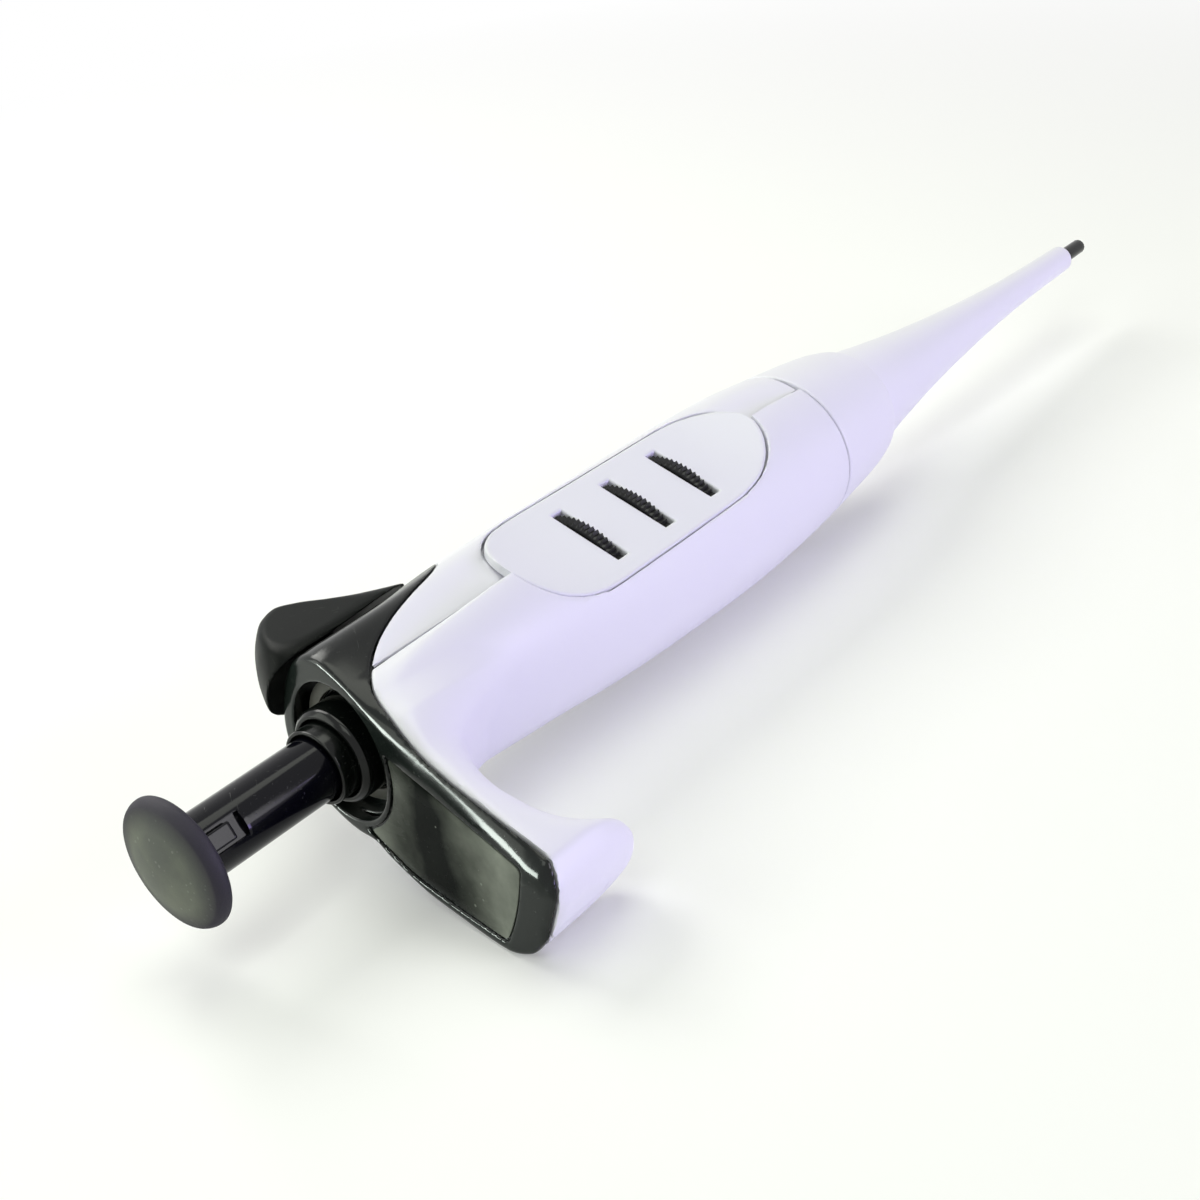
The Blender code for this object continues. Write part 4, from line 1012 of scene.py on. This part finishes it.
    def shell(self, p: Spots) -> Array:
        """Barrel and arm with a fillet between them, under the cap's sloping top and front.

        Args:
            p: places.

        Returns:
            Their field.
        """
        near = ramp(p.z, *self.fillet_rise) * ramp(-p.y, *self.fillet_out)
        fillet = self.fillet + (self.front_fillet - self.fillet) * near
        body = blend_min(self.grip(p), self.arm(p), fillet)
        end = ramp(-p.y, *self.end_out) * ramp(p.z, *self.end_rise)
        body = blend_max(body, self.above(p), self.edge_round + (self.end_roll - self.edge_round) * end)
        drop = self.slant_drop * ramp(-p.y, *self.slant_out)
        out = np.clip(-p.y, 0.0, self.arm_reach)
        high = np.maximum(self.curves["arm_front"](out), self.ridge[0] + self.ridge[1] * p.y)
        face = self.slant_fall * (p.z - high) + drop * (self.top + self.slope * p.y + self.slant_fall - p.x)
        return blend_max(body, face / np.hypot(self.slant_fall, drop), self.slant_round)

    def above(self, p: Spots) -> Array:
        """Distance above the cap's sloping top, which falls away past the window.

        Args:
            p: places.

        Returns:
            The distance, negative below.
        """
        past = np.maximum(-p.y - self.end_start, 0.0)
        fall = self.end_fall[0] * past + self.end_fall[1] * past**2
        return (self.top + self.slope * p.y + fall - p.x) / math.sqrt(1 + self.slope**2)

    def past_edge(self, p: Spots) -> Array:
        """Distance past the line where the cap ends."""
        edge = self.curves["edge"]
        return (p.x - edge(p.y)) / edge.slant(p.y)


@dataclass
class Cap:
    """Gloss cap with its recess, the label window and the grey washer in the recess."""

    shape: Shape
    space: Box = ((18, -43, -14), (60, 16, 15.5))
    cell: float = 0.27
    recess: float = 10.0
    recess_floor: float = 33.0
    cup: Triple = (11.4, 30.0, 36.3)
    stem_hole: Triple = (7.35, 20.0, 35.5)
    chamber: Triple = (10.6, 34.5, 71.3)
    lobe_slot: Box = ((37.7, 7.5, -1.8), (47.8, 30.0, 4.8))
    lip: float = 0.4
    seam: float = 0.25
    window_front: Pairs = ((8.0, 6.9), (12.2, 7.3), (17.8, 8.0), (27.2, 8.9), (34.8, 9.6))
    window_back: Pairs = ((8.0, -8.6), (14.6, -8.7), (23.2, -7.2), (31.3, -5.0), (34.8, -4.0))
    window_root: float = 4.0
    window_end: float = 35.3
    window_wall: float = 0.9
    window_lip: float = 0.35
    end_bow: float = 0.014
    bow_middle: float = 2.0
    film_middle: Span = (-22.0, 0.5)
    film_points: int = 240
    film_sink: float = 0.2
    film_back: float = 0.45
    film_edge: Pairs = ((0.3, 0.45), (0.3, 0.28), (0.45, 0.2))
    film_shares: Triple = (0.8, 0.55, 0.3)
    film_search: float = 30.0
    washer: Corners = ((32.8, 7.6, 0), (32.0, 7.6, 0.2), (32.0, 9.3, 0.2), (32.8, 9.3, 0), (32.8, 7.6, 0))

    def window(self, y: Array, z: Array) -> Array:
        """Outline of the label window seen from the button.

        Args:
            y: places across.
            z: places up.

        Returns:
            Distance past the outline, negative inside.
        """
        sides = np.maximum(z - Curve(self.window_front)(-y), Curve(self.window_back)(-y) - z)
        far = self.window_end - self.end_bow * (z - self.bow_middle) ** 2
        ends = np.maximum(-y - far, self.recess + self.window_wall - np.sqrt(y * y + z * z))
        return blend_max(blend_max(sides, ends, self.window_wall), y + self.window_root, 0.3)

    def solid(self, p: Spots) -> Array:
        """The cap itself.

        Args:
            p: places.

        Returns:
            Its field.
        """
        body = blend_max(self.shape.shell(p), self.shape.past_edge(p), self.seam)
        body = np.minimum(body, tube(p, *self.cup))
        body = blend_max(body, -tube(p, self.recess, -20.0, self.recess_floor), self.lip)
        for space in (tube(p, *self.stem_hole), tube(p, *self.chamber), block(p, *self.lobe_slot)):
            body = np.maximum(body, -space)
        sink = np.maximum(self.window(p.y, p.z), -self.shape.above(p) - self.film_back)
        return blend_max(body, -sink, self.window_lip)

    def film(self) -> Mesh:
        """Label window: a thin plate with a bevelled edge, as loops from its back to its front.

        Returns:
            The points and faces.
        """
        turn = np.linspace(0, 2 * math.pi, self.film_points, endpoint=False)
        middle_y, middle_z = self.film_middle
        rings = []
        for inset, sink in self.film_edge:
            low, high = np.zeros(len(turn)), np.full(len(turn), self.film_search)
            for _ in range(30):
                reach = (low + high) / 2
                y, z = middle_y + reach * np.cos(turn), middle_z + reach * np.sin(turn)
                outside = self.window(y, z) + inset > 0
                high, low = np.where(outside, reach, high), np.where(outside, low, reach)
            rings.append((reach, sink))
        rings += [(rings[-1][0] * share, self.film_sink) for share in (*self.film_shares, 0.0)]
        rings = [(rings[0][0] * share, self.film_back) for share in (0.0, 0.5)] + rings
        loops = []
        for reach, sink in rings:
            y, z = middle_y + reach * np.cos(turn), middle_z + reach * np.sin(turn)
            loops.append(np.stack([self.shape.top + self.shape.slope * y + sink, y, z], 1))
        return np.concatenate(loops), loop_faces(len(loops), len(turn))[:, ::-1]

    def build(self, make: Maker, finish: Finishes) -> None:
        """Make the cap's pieces.

        Args:
            make: maker of the pieces.
            finish: the finishes.
        """
        cap = skin(self.solid, self.space, self.cell)
        make.piece("cap_shell", cap, finish.black, Body.GRIP, ["top_cap"])
        make.piece("window_film", self.film(), finish.film, Body.GRIP, ["label_window"])
        washer = turned(softened(self.washer, 2), 96, True)
        make.piece("recess_washer", washer, finish.washer, Body.GRIP, ())


@dataclass
class Housing:
    """The two grip halves, the dial panel, its wheels and the lower collar."""

    shape: Shape
    thumb_space: Box = ((26, -0.5, -18.5), (135, 16.5, 16.5))
    hook_space: Box = ((22, -43, -18.5), (135, 0.8, 16.5))
    panel_space: Box = ((58.5, -11, 7), (119.6, 11, 15.8))
    collar_space: Box = ((132.6, -15, -16.5), (155, 15, 14.5))
    cap_seam: float = 0.3
    halves_seam: float = 0.15
    edge_round: float = 0.35
    end_round: float = 0.5
    grip_end: float = 133.4
    panel_start: float = 59.3
    panel_end: float = 118.8
    panel_middle: float = 89.05
    end_slant: Triple = (22.0, 8.0, 0.35)
    flat_start: float = 76.0
    flat_end: float = 101.0
    dish_power: float = 2.6
    panel_height: float = 10.58
    panel_thickness: float = 1.6
    panel_gap: float = 0.22
    panel_round: float = 0.45
    wheel_first: float = 78.8
    wheel_pitch: float = 11.45
    wheel_radius: float = 11.7
    wheel_width: float = 1.7
    wheel_chamfer: float = 0.22
    hub: Pairs = ((-5.4, 4.0), (-5.4, 6.5), (-1.0, 6.6), (1.0, 6.6), (5.4, 6.5), (5.4, 4.0))
    tooth_depth: float = 0.5
    teeth: int = 80
    slot_half_width: float = 1.1
    slot_half_length: float = 6.4
    slot_bevel: float = 0.5
    rooms: Corners = (
        (11.7, -20.0, 36.6), (10.6, 30.0, 71.3), (12.2, 73.0, 107.5), (8.9, 109.2, 112.4),
        (10.8, 112.4, 150.0), (4.0, 60.0, 115.0),
    )
    channel: Box = ((38.0, -3.3, -13.6), (129.6, 3.3, -8.0))
    collar_end: float = 153.8
    collar_lip: float = 1.6
    collar_bore: Triple = (9.3, 100.0, 170.0)

    def face(self, x: Array) -> Array:
        """Height of the dished panel's face.

        Args:
            x: places along the axis.

        Returns:
            The heights.
        """
        front = self.shape.curves["front"]
        low = np.clip((self.flat_start - x) / (self.flat_start - self.panel_start), 0, 1.2) ** self.dish_power
        high = np.clip((x - self.flat_end) / (self.panel_end - self.flat_end), 0, 1.2) ** self.dish_power
        rise_low = front(self.panel_start) - self.panel_height
        rise_high = front(self.panel_end) - self.panel_height
        return self.panel_height + low * rise_low + high * rise_high

    def outline(self, x: Array, y: Array) -> Array:
        """Outline of the panel seen from the front, where its face meets the barrel.

        Args:
            x: places along the axis.
            y: places across.

        Returns:
            Distance past the outline, negative inside.
        """
        power = self.shape.curves["squareness"](x)
        level = np.clip(self.face(x) / self.shape.curves["front"](x), 0, 1)
        half = self.shape.side(x, y) * (1 - level**power) ** (1 / power)
        start, span, gain = self.end_slant
        slant = 1 + np.clip(np.abs(x - self.panel_middle) - start, 0, span) * gain
        ends = np.maximum(self.panel_start - x, x - self.panel_end)
        return np.maximum((np.abs(y) - half) / slant, ends)

    def hollow(self, p: Spots) -> Array:
        """Chambers inside the grip."""
        spaces = [tube(p, *room) for room in self.rooms] + [block(p, *self.channel)]
        return np.minimum.reduce(spaces)

    def half(self, side: float) -> Field:
        """One grip half.

        Args:
            side: 1 for the thumb side, -1 for the hook side.

        Returns:
            Its field.
        """
        def solid(p: Spots) -> Array:
            """Field of the half.

            Args:
                p: places.

            Returns:
                The field.
            """
            body = blend_max(self.shape.shell(p), self.cap_seam - self.shape.past_edge(p), 0.3)
            body = blend_max(body, p.x - self.grip_end, self.end_round)
            floor = self.face(p.x) - self.panel_thickness - self.panel_gap
            pocket = np.maximum(self.outline(p.x, p.y), floor - p.z)
            body = blend_max(body, -pocket, self.edge_round)
            body = blend_max(body, self.halves_seam - side * p.y, self.edge_round)
            return np.maximum(body, -self.hollow(p))

        return solid

    def panel(self, p: Spots) -> Array:
        """Dished panel with bevelled slots.

        Args:
            p: places.

        Returns:
            Its field.
        """
        face = self.face(p.x)
        body = np.maximum(self.outline(p.x, p.y) + self.panel_gap, face - self.panel_thickness - p.z)
        body = blend_max(body, p.z - face, self.panel_round)
        for number in range(3):
            middle = self.wheel_first + number * self.wheel_pitch
            along, across = np.abs(p.x - middle) - self.slot_half_width, np.abs(p.y) - self.slot_half_length
            body = blend_max(body, -np.maximum(along, across), self.slot_bevel)
        return body

    def wheel(self, number: int) -> Mesh:
        """A serrated wheel: pointed teeth whose ends are chamfered, on a hub.

        Args:
            number: 0 for the wheel nearest the button.

        Returns:
            The points and faces.
        """
        count = self.teeth * 4
        turn = np.arange(count) * 2 * math.pi / count
        tooth = np.abs(((np.arange(count) + 2) % 4) - 2) / 2 * self.tooth_depth
        half, flat = self.wheel_width / 2, self.wheel_width / 2 - self.wheel_chamfer
        rim = [(-half, 3.2, 0.0), (-half, 0.55, 0.5), (-flat, 0.0, 1.0)]
        rim += [(-x, drop, deep) for x, drop, deep in reversed(rim)]
        rows = [(x, self.wheel_radius - drop - tooth * deep) for x, drop, deep in rim]
        hub = [(x, np.full(count, radius)) for x, radius in self.hub]
        rows = hub[:3] + rows + hub[3:]
        middle = self.wheel_first + number * self.wheel_pitch
        line = np.array([middle + x for x, _ in rows]), np.array([radius for _, radius in rows])
        return round_axis(line, turn), loop_faces(len(rows), count, True)[:, ::-1]

    def collar(self, p: Spots) -> Array:
        """Lower collar with a rounded lower edge.

        Args:
            p: places.

        Returns:
            Its field.
        """
        body = blend_max(self.shape.grip(p), self.grip_end + self.cap_seam - p.x, self.end_round)
        body = blend_max(body, p.x - self.collar_end, self.collar_lip)
        return blend_max(body, -tube(p, *self.collar_bore), 0.3)

    def build(self, make: Maker, finish: Finishes) -> None:
        """Make the housing's pieces.

        Args:
            make: maker of the pieces.
            finish: the finishes.
        """
        sides = (
            ("grip_thumb_side", self.half(1.0), self.thumb_space, 0.45, finish.white, "housing_ejector_side"),
            ("grip_hook_side", self.half(-1.0), self.hook_space, 0.45, finish.white, "housing_hook_side"),
            ("panel_dish", self.panel, self.panel_space, 0.26, finish.panel, "dial_panel"),
            ("collar_ring", self.collar, self.collar_space, 0.42, finish.white, "lower_collar"),
        )
        for name, form, space, cell, coat, node in sides:
            make.piece(name, skin(form, space, cell), coat, Body.GRIP, [node])
        for i in range(3):
            name, node = f"wheel_rim_{i + 1}", f"dial_wheel_{i + 1}"
            wheel = make.piece(name, self.wheel(i), finish.wheel, Body.GRIP, [node], 25.0)
            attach(wheel, f"wheel_{i + 1}")


@dataclass
class Plunger:
    """Push button, stem, latch and the two rings that guide the stem."""

    dome: Triple = (-2.0, 1.6, 8.43)
    dome_reach: float = 7.0
    edge: Corners = (
        (-0.4, 8.75, 2.0), (0.65, 9.26, 0.5), (1.45, 9.26, 0.45), (1.9, 8.7, 0.35), (2.75, 5.85, 0.5),
    )
    neck: Corners = ((3.2, 5.3, 0.2), (3.2, 3.5, 0.0), (0.9, 3.5, 0.0), (0.9, 0.0, 0.0))
    stem: float = 4.58
    stem_start: float = 3.5
    stem_end: float = 48.0
    stem_round: float = 0.4
    stem_space: Box = ((2.9, -5.2, -5.2), (48.8, 5.2, 5.2))
    notch_depth: float = 1.0
    notch_width: float = 3.3
    notch_length: float = 5.6
    notch_turn: float = math.radians(38)
    notch_round: float = 0.25
    latch_half: Span = (1.95, 1.25)
    latch_sink: float = 0.3
    latch_thickness: float = 0.6
    latch_round: float = 0.3
    latch_space: Box = ((3.0, -5, 0), (8.2, 1.6, 5))
    bush: Corners = (
        (46.5, 4.9, 0), (24.15, 4.9, 0.15), (24.0, 5.1, 0.15), (24.0, 5.35, 0.15), (24.2, 5.5, 0.15),
        (46.5, 5.5, 0), (46.5, 4.9, 0),
    )
    guide: Corners = (
        (36.3, 5.8, 0), (26.8, 5.8, 0.2), (26.6, 6.0, 0.1), (26.6, 6.35, 0.15), (27.3, 7.0, 0.35),
        (34.8, 7.0, 0.1), (34.8, 9.0, 0), (36.3, 9.0, 0), (36.3, 5.8, 0),
    )
    roundness: int = 128

    def button(self) -> list[tuple[float, float]]:
        """Profile of the domed button, its rolled rim and its neck.

        Returns:
            The profile's points.
        """
        start, rise, radius = self.dome
        places = np.linspace(0.0, self.dome_reach, 12)
        dome = [(rise * (r / radius) ** 2 + start, float(r), 0.0) for r in places]
        return softened((*dome, *self.edge, *self.neck), 5)

    def notch_place(self, p: Spots) -> tuple[Array, Array]:
        """Places across the notch and outwards through it."""
        cos, sin = math.cos(self.notch_turn), math.sin(self.notch_turn)
        return p.y * cos + p.z * sin, p.z * cos - p.y * sin

    def shank(self, p: Spots) -> Array:
        """Stem with the latch's notch.

        Args:
            p: places.

        Returns:
            Its field.
        """
        r = np.sqrt(p.y * p.y + p.z * p.z)
        ends = np.maximum(self.stem_start - p.x, p.x - self.stem_end)
        bar = blend_max(r - self.stem, ends, self.stem_round)
        across, out = self.notch_place(p)
        notch = np.maximum(np.abs(across) - self.notch_width / 2, self.stem - self.notch_depth - out)
        notch = np.maximum(notch, p.x - self.stem_start - self.notch_length)
        return blend_max(bar, -notch, self.notch_round)

    def latch(self, p: Spots) -> Array:
        """Tab that lies in the notch.

        Args:
            p: places.

        Returns:
            Its field.
        """
        half_length, half_width = self.latch_half
        across, out = self.notch_place(p)
        low = self.stem - self.notch_depth + self.latch_sink
        slab = np.maximum(low - out, out - low - self.latch_thickness)
        body = blend_max(np.abs(across) - half_width, slab, self.latch_round)
        ends = np.abs(p.x - self.stem_start - half_length) - half_length
        return blend_max(body, ends, self.latch_round)

    def build(self, make: Maker, finish: Finishes) -> None:
        """Make the plunger's pieces and its guides.

        Args:
            make: maker of the pieces.
            finish: the finishes.
        """
        button = turned(self.button(), self.roundness)
        make.piece("button_dome", button, finish.button, Body.PLUNGER, ["push_button"], 60.0)
        shank = skin(self.shank, self.stem_space, 0.26)
        make.piece("stem_shank", shank, finish.stem, Body.PLUNGER, ["plunger_stem"])
        latch = skin(self.latch, self.latch_space, 0.16)
        make.piece("latch_tab", latch, finish.stem, Body.PLUNGER, ["button_latch"])
        rings = (("bush_ring", self.bush, "stem_guide_bush"), ("guide_ring", self.guide, "guide_collar"))
        for name, corners, node in rings:
            ring = turned(softened(corners, 3), self.roundness, True)
            make.piece(name, ring, finish.black, Body.GRIP, [node])


@dataclass
class Ejector:
    """Thumb lobe and the long sleeve that pushes the tip off."""

    shape: Shape
    reach: Pairs = (
        (26.0, 10.6), (27.4, 12.6), (28.7, 15.0), (30.6, 18.1), (33.0, 21.0), (36.0, 23.1), (38.6, 23.8),
        (41.2, 22.4), (44.2, 19.6), (47.5, 17.2), (51.5, 15.5), (55.5, 14.6), (57.0, 14.2),
    )
    half_height: Pairs = (
        (26.0, 2.4), (27.4, 3.1), (28.7, 4.5), (30.6, 5.8), (33.0, 6.7), (36.0, 7.2), (38.6, 7.3),
        (41.2, 7.1), (44.2, 6.8), (47.5, 6.4), (51.5, 5.8), (55.5, 4.9), (57.0, 4.4),
    )
    lobe_space: Box = ((26.5, 7, -7.5), (56.5, 25, 10.5))
    lobe_ends: Span = (27.2, 55.6)
    lobe_round: Span = (1.0, 0.8)
    squareness: float = 2.3
    middle: float = 1.7
    root: float = 8.0
    flank: Triple = (0.366, 0.930, 12.2)
    travel: float = 7.0
    clearance: float = 0.4
    strap_slot: Box = ((37.7, 0, -1.8), (40.8, 16.3, 4.8))
    taper: Pairs = (
        (155.5, 9.0), (158.0, 8.86), (160.0, 8.5), (165.0, 7.75), (170.0, 7.04), (175.0, 6.39),
        (180.0, 5.82), (185.0, 5.29), (190.0, 4.83), (195.0, 4.39), (200.0, 4.0), (205.0, 3.65),
        (210.0, 3.36), (215.0, 3.12), (220.0, 2.95), (225.0, 2.82), (230.0, 2.73), (235.4, 2.62),
    )
    head: Corners = ((118.0, 8.2, 0.0), (118.0, 10.3, 0.0), (120.5, 10.3, 0.0), (120.5, 9.0, 0.0))
    lip: float = 0.8
    wall: float = 0.8

    def lobe(self, p: Spots) -> Array:
        """Lobe with a flat front flank and a curved thumb face.

        Args:
            p: places.

        Returns:
            Its field.
        """
        reach, half = Curve(self.reach)(p.x), Curve(self.half_height)(p.x)
        wide = (reach - self.root) / 2
        body = oval(p.y - (reach + self.root) / 2, p.z - self.middle, wide, half, self.squareness)
        a, b, level = self.flank
        body = blend_max(body, a * p.y + b * p.z - level, self.lobe_round[0])
        ends = np.maximum(self.lobe_ends[0] - p.x, p.x - self.lobe_ends[1])
        body = blend_max(body, ends, self.lobe_round[1])
        pressed = p._replace(x=p.x + self.travel)
        clear = np.minimum(self.shape.grip(p), self.shape.grip(pressed)) - self.clearance
        body = blend_max(body, -clear, self.clearance)
        return np.maximum(body, -block(p, *self.strap_slot))

    def sleeve(self) -> list[tuple[float, float]]:
        """Profile of the sleeve's wall.

        Returns:
            The profile's points.
        """
        line = Curve(self.taper)
        tip = self.taper[-1][0]
        places = [float(x) for x in np.linspace(self.taper[0][0], tip, 48)]
        outside = [(x, float(line(x)), 0.0) for x in places]
        end = float(line(tip))
        lip = [(tip + self.lip, end, 0.35), (tip + self.lip, end - self.wall, 0.2)]
        inside = [(x, float(line(x)) - self.wall, 0.0) for x in reversed(places[:-1])]
        return softened((*self.head, *outside, *lip, *inside, self.head[0]), 4)

    def build(self, make: Maker, finish: Finishes) -> None:
        """Make the ejector's pieces.

        Args:
            make: maker of the pieces.
            finish: the finishes.
        """
        lobe = skin(self.lobe, self.lobe_space, 0.32)
        make.piece("thumb_lobe", lobe, finish.lobe, Body.EJECTOR, ["ejector_lever"])
        sleeve = turned(self.sleeve(), 144, True)
        make.piece("tip_sleeve", sleeve, finish.white, Body.EJECTOR, ["ejector_sleeve"])
        make.carry(["ejector_frame"], finish.lobe)


@dataclass
class Nozzle:
    """Black shaft whose end takes the disposable tip."""

    outline: Corners = (
        (228.0, 0.5, 0), (228.0, 1.52, 0), (236.0, 1.5, 0), (243.9, 1.45, 1.2), (244.8, 0.95, 0.3),
        (244.8, 0.5, 0.1), (228.0, 0.5, 0),
    )

    def build(self, make: Maker, finish: Finishes) -> None:
        """Make the nozzle's end and dress the shaft behind it.

        Args:
            make: maker of the pieces.
            finish: the finishes.
        """
        end = turned(softened(self.outline, 5), 64, True)
        make.piece("nozzle_end", end, finish.black, Body.GRIP, ())
        make.carry(["nozzle_shaft"], finish.wheel)


@dataclass(frozen=True)
class Insides:
    """Pieces that the housing hides, kept from the CAD model."""

    steel: Sequence[str] = (
        "piston_rod", "spring_plate", "piston", "piston_spring", "blowout_spring", "ejector_spring",
    )
    plastic: Sequence[str] = ("dial_core", "seal_retainer")
    amber: Sequence[str] = ("stroke_nut", "seal_ring")

    def build(self, make: Maker, finish: Finishes) -> None:
        """Dress the hidden pieces.

        Args:
            make: maker of the pieces.
            finish: the finishes.
        """
        make.carry(self.steel, finish.steel)
        make.carry(self.plastic, finish.wheel)
        make.carry(self.amber, finish.amber)


@dataclass(frozen=True)
class Lamp:
    """A soft rectangular lamp."""

    name: str
    spot: Triple
    size: Span
    power: float
    colour: Triple
    reach: Reach = Reach.ALL
    aim: Triple = (0.0, 0.0, 0.01)

    def build(self) -> None:
        """Hang the lamp, and tell it what it lights."""
        data = bpy.data.lights.new(self.name, "AREA")
        data.shape = "RECTANGLE"
        data.size, data.size_y = self.size
        data.energy = self.power
        data.color = self.colour
        thing = bpy.data.objects.new(self.name, data)
        thing.location = self.spot
        thing.rotation_euler = (Vector(self.aim) - thing.location).to_track_quat("-Z", "Y").to_euler()
        bpy.context.scene.collection.objects.link(thing)
        if self.reach is Reach.ALL:
            return
        lit = bpy.data.collections.new(self.name)
        for mesh in bpy.context.scene.objects:
            if mesh.type == "MESH" and mesh.name.startswith(self.reach.value):
                lit.objects.link(mesh)
        thing.light_linking.receiver_collection = lit


@dataclass
class Studio:
    """White floor and surround, soft lamps and the camera at the photograph's angle."""

    setting: Setting
    eye: Triple = (-96.94, -111.99, 176.19)
    right: Triple = (0.6238, -0.7664, 0.1530)
    forward: Triple = (0.6484, 0.3982, -0.6489)
    lens: float = 54.4575
    sensor: float = 36.0
    floor_reach: float = 8.0
    floor_colour: Triple = (0.97, 0.97, 0.97)
    floor_glow: float = 0.22
    shade_reach: float = 0.17
    shade_fade: float = 0.35
    surround: float = 0.03
    lamps: Sequence[Lamp] = (
        Lamp("key_lamp", (-0.42, -0.165, 0.535), (0.28, 0.28), 0.7, (0.93, 1.0, 0.9)),
        Lamp("top_lamp", (0.05, 0.05, 0.75), (0.5, 0.5), 2.3, (0.96, 1.0, 0.88)),
        Lamp("back_lamp", (0.02, 0.56, 0.52), (0.4, 0.4), 3.1, (1.0, 0.997, 0.95)),
        Lamp("fill_lamp", (0.12, -0.64, 0.28), (0.28, 0.28), 1.5, (0.97, 0.96, 1.0)),
        Lamp("right_lamp", (0.40, -0.70, 0.19), (0.13, 0.24), 0.75, (0.62, 0.52, 1.0), Reach.PIPETTE),
        Lamp("low_lamp", (0.05, -0.55, 0.05), (0.16, 0.16), 1.25, (0.54, 0.43, 1.0), Reach.PIPETTE),
        Lamp("edge_lamp", (-0.50, 0.40, 0.25), (0.5, 0.5), 1.8, (0.942, 1.0, 0.889)),
        Lamp("streak_lamp", (-0.57, 0.26, 0.055), (0.52, 0.2), 12.0, (0.9, 1.0, 0.93), Reach.CAP),
    )

    def floor(self) -> None:
        """Wide white sheet, lit by nothing but its own white far from the pipette."""
        bm = bmesh.new()
        bmesh.ops.create_grid(bm, x_segments=4, y_segments=4, size=self.floor_reach)
        data = bpy.data.meshes.new("white_sheet")
        bm.to_mesh(data)
        bm.free()
        sheet = bpy.data.objects.new("white_sheet", data)
        bpy.context.scene.collection.objects.link(sheet)
        shader = Shader("white_sheet")
        shader.paint(Base_Color=self.floor_colour, Roughness=0.9)
        glow = shader.node("ShaderNodeEmission", Color=(1.0, 1.0, 1.0, 1.0), Strength=1.0)
        reach = shader.node("ShaderNodeVectorMath", {"operation": "LENGTH"}, Vector=shader.place())
        far = shader.signal(reach, "Value").above(self.shade_reach, self.shade_fade)
        seen = shader.backdrop() * (far * (1 - self.floor_glow) + self.floor_glow)
        blend = shader.node("ShaderNodeMixShader", Fac=seen)
        shader.feed(blend.inputs[1], shader.surface.outputs["BSDF"])
        shader.feed(blend.inputs[2], glow.outputs["Emission"])
        shader.feed(shader.tree.nodes["Material Output"].inputs["Surface"], blend.outputs["Shader"])
        data.materials.append(shader.material)

    def air(self) -> None:
        """White surround for the rays that see it, and a dim one for the rest."""
        world = bpy.data.worlds.new("surround")
        world.use_nodes = True
        air = Tree(world.node_tree)
        ground = air.tree.nodes["Background"]
        air.feed(ground.inputs["Strength"], air.backdrop() * (1 - self.surround) + self.surround)
        air.feed(ground.inputs["Color"], (1.0, 1.0, 1.0, 1.0))
        bpy.context.scene.world = world

    def camera(self) -> None:
        """Camera that sees the pipette as the photograph does."""
        ahead = Vector(self.forward).normalized()
        side = Vector(self.right)
        side = (side - side.dot(ahead) * ahead).normalized()
        up = side.cross(ahead)
        pose = Matrix((side, up, -ahead)).transposed().to_4x4()
        pose.translation = Vector(self.eye) / MM
        data = bpy.data.cameras.new("camera")
        data.lens = self.lens
        data.sensor_width = self.sensor
        data.clip_start = 0.01
        thing = bpy.data.objects.new("camera", data)
        thing.matrix_world = self.setting.matrix() @ pose
        bpy.context.scene.collection.objects.link(thing)
        bpy.context.scene.camera = thing

    def build(self) -> None:
        """Set the stage."""
        self.floor()
        for lamp in self.lamps:
            lamp.build()
        self.air()
        self.camera()
        bpy.context.scene.view_settings.view_transform = "Standard"
        log.info("studio: %d lamps", len(self.lamps))


def main() -> None:
    """Build every sub-assembly in order."""
    logging.basicConfig(level=logging.INFO, format="%(name)s %(message)s")
    setting = Setting()
    make = Maker(setting.matrix())
    finish = Finishes()
    shape = Shape()
    for part in (Housing(shape), Cap(shape), Plunger(), Ejector(shape), Nozzle(), Insides()):
        part.build(make, finish)
        log.info("%s done", type(part).__name__)
    Studio(setting).build()


if __name__ == "__main__":
    main()
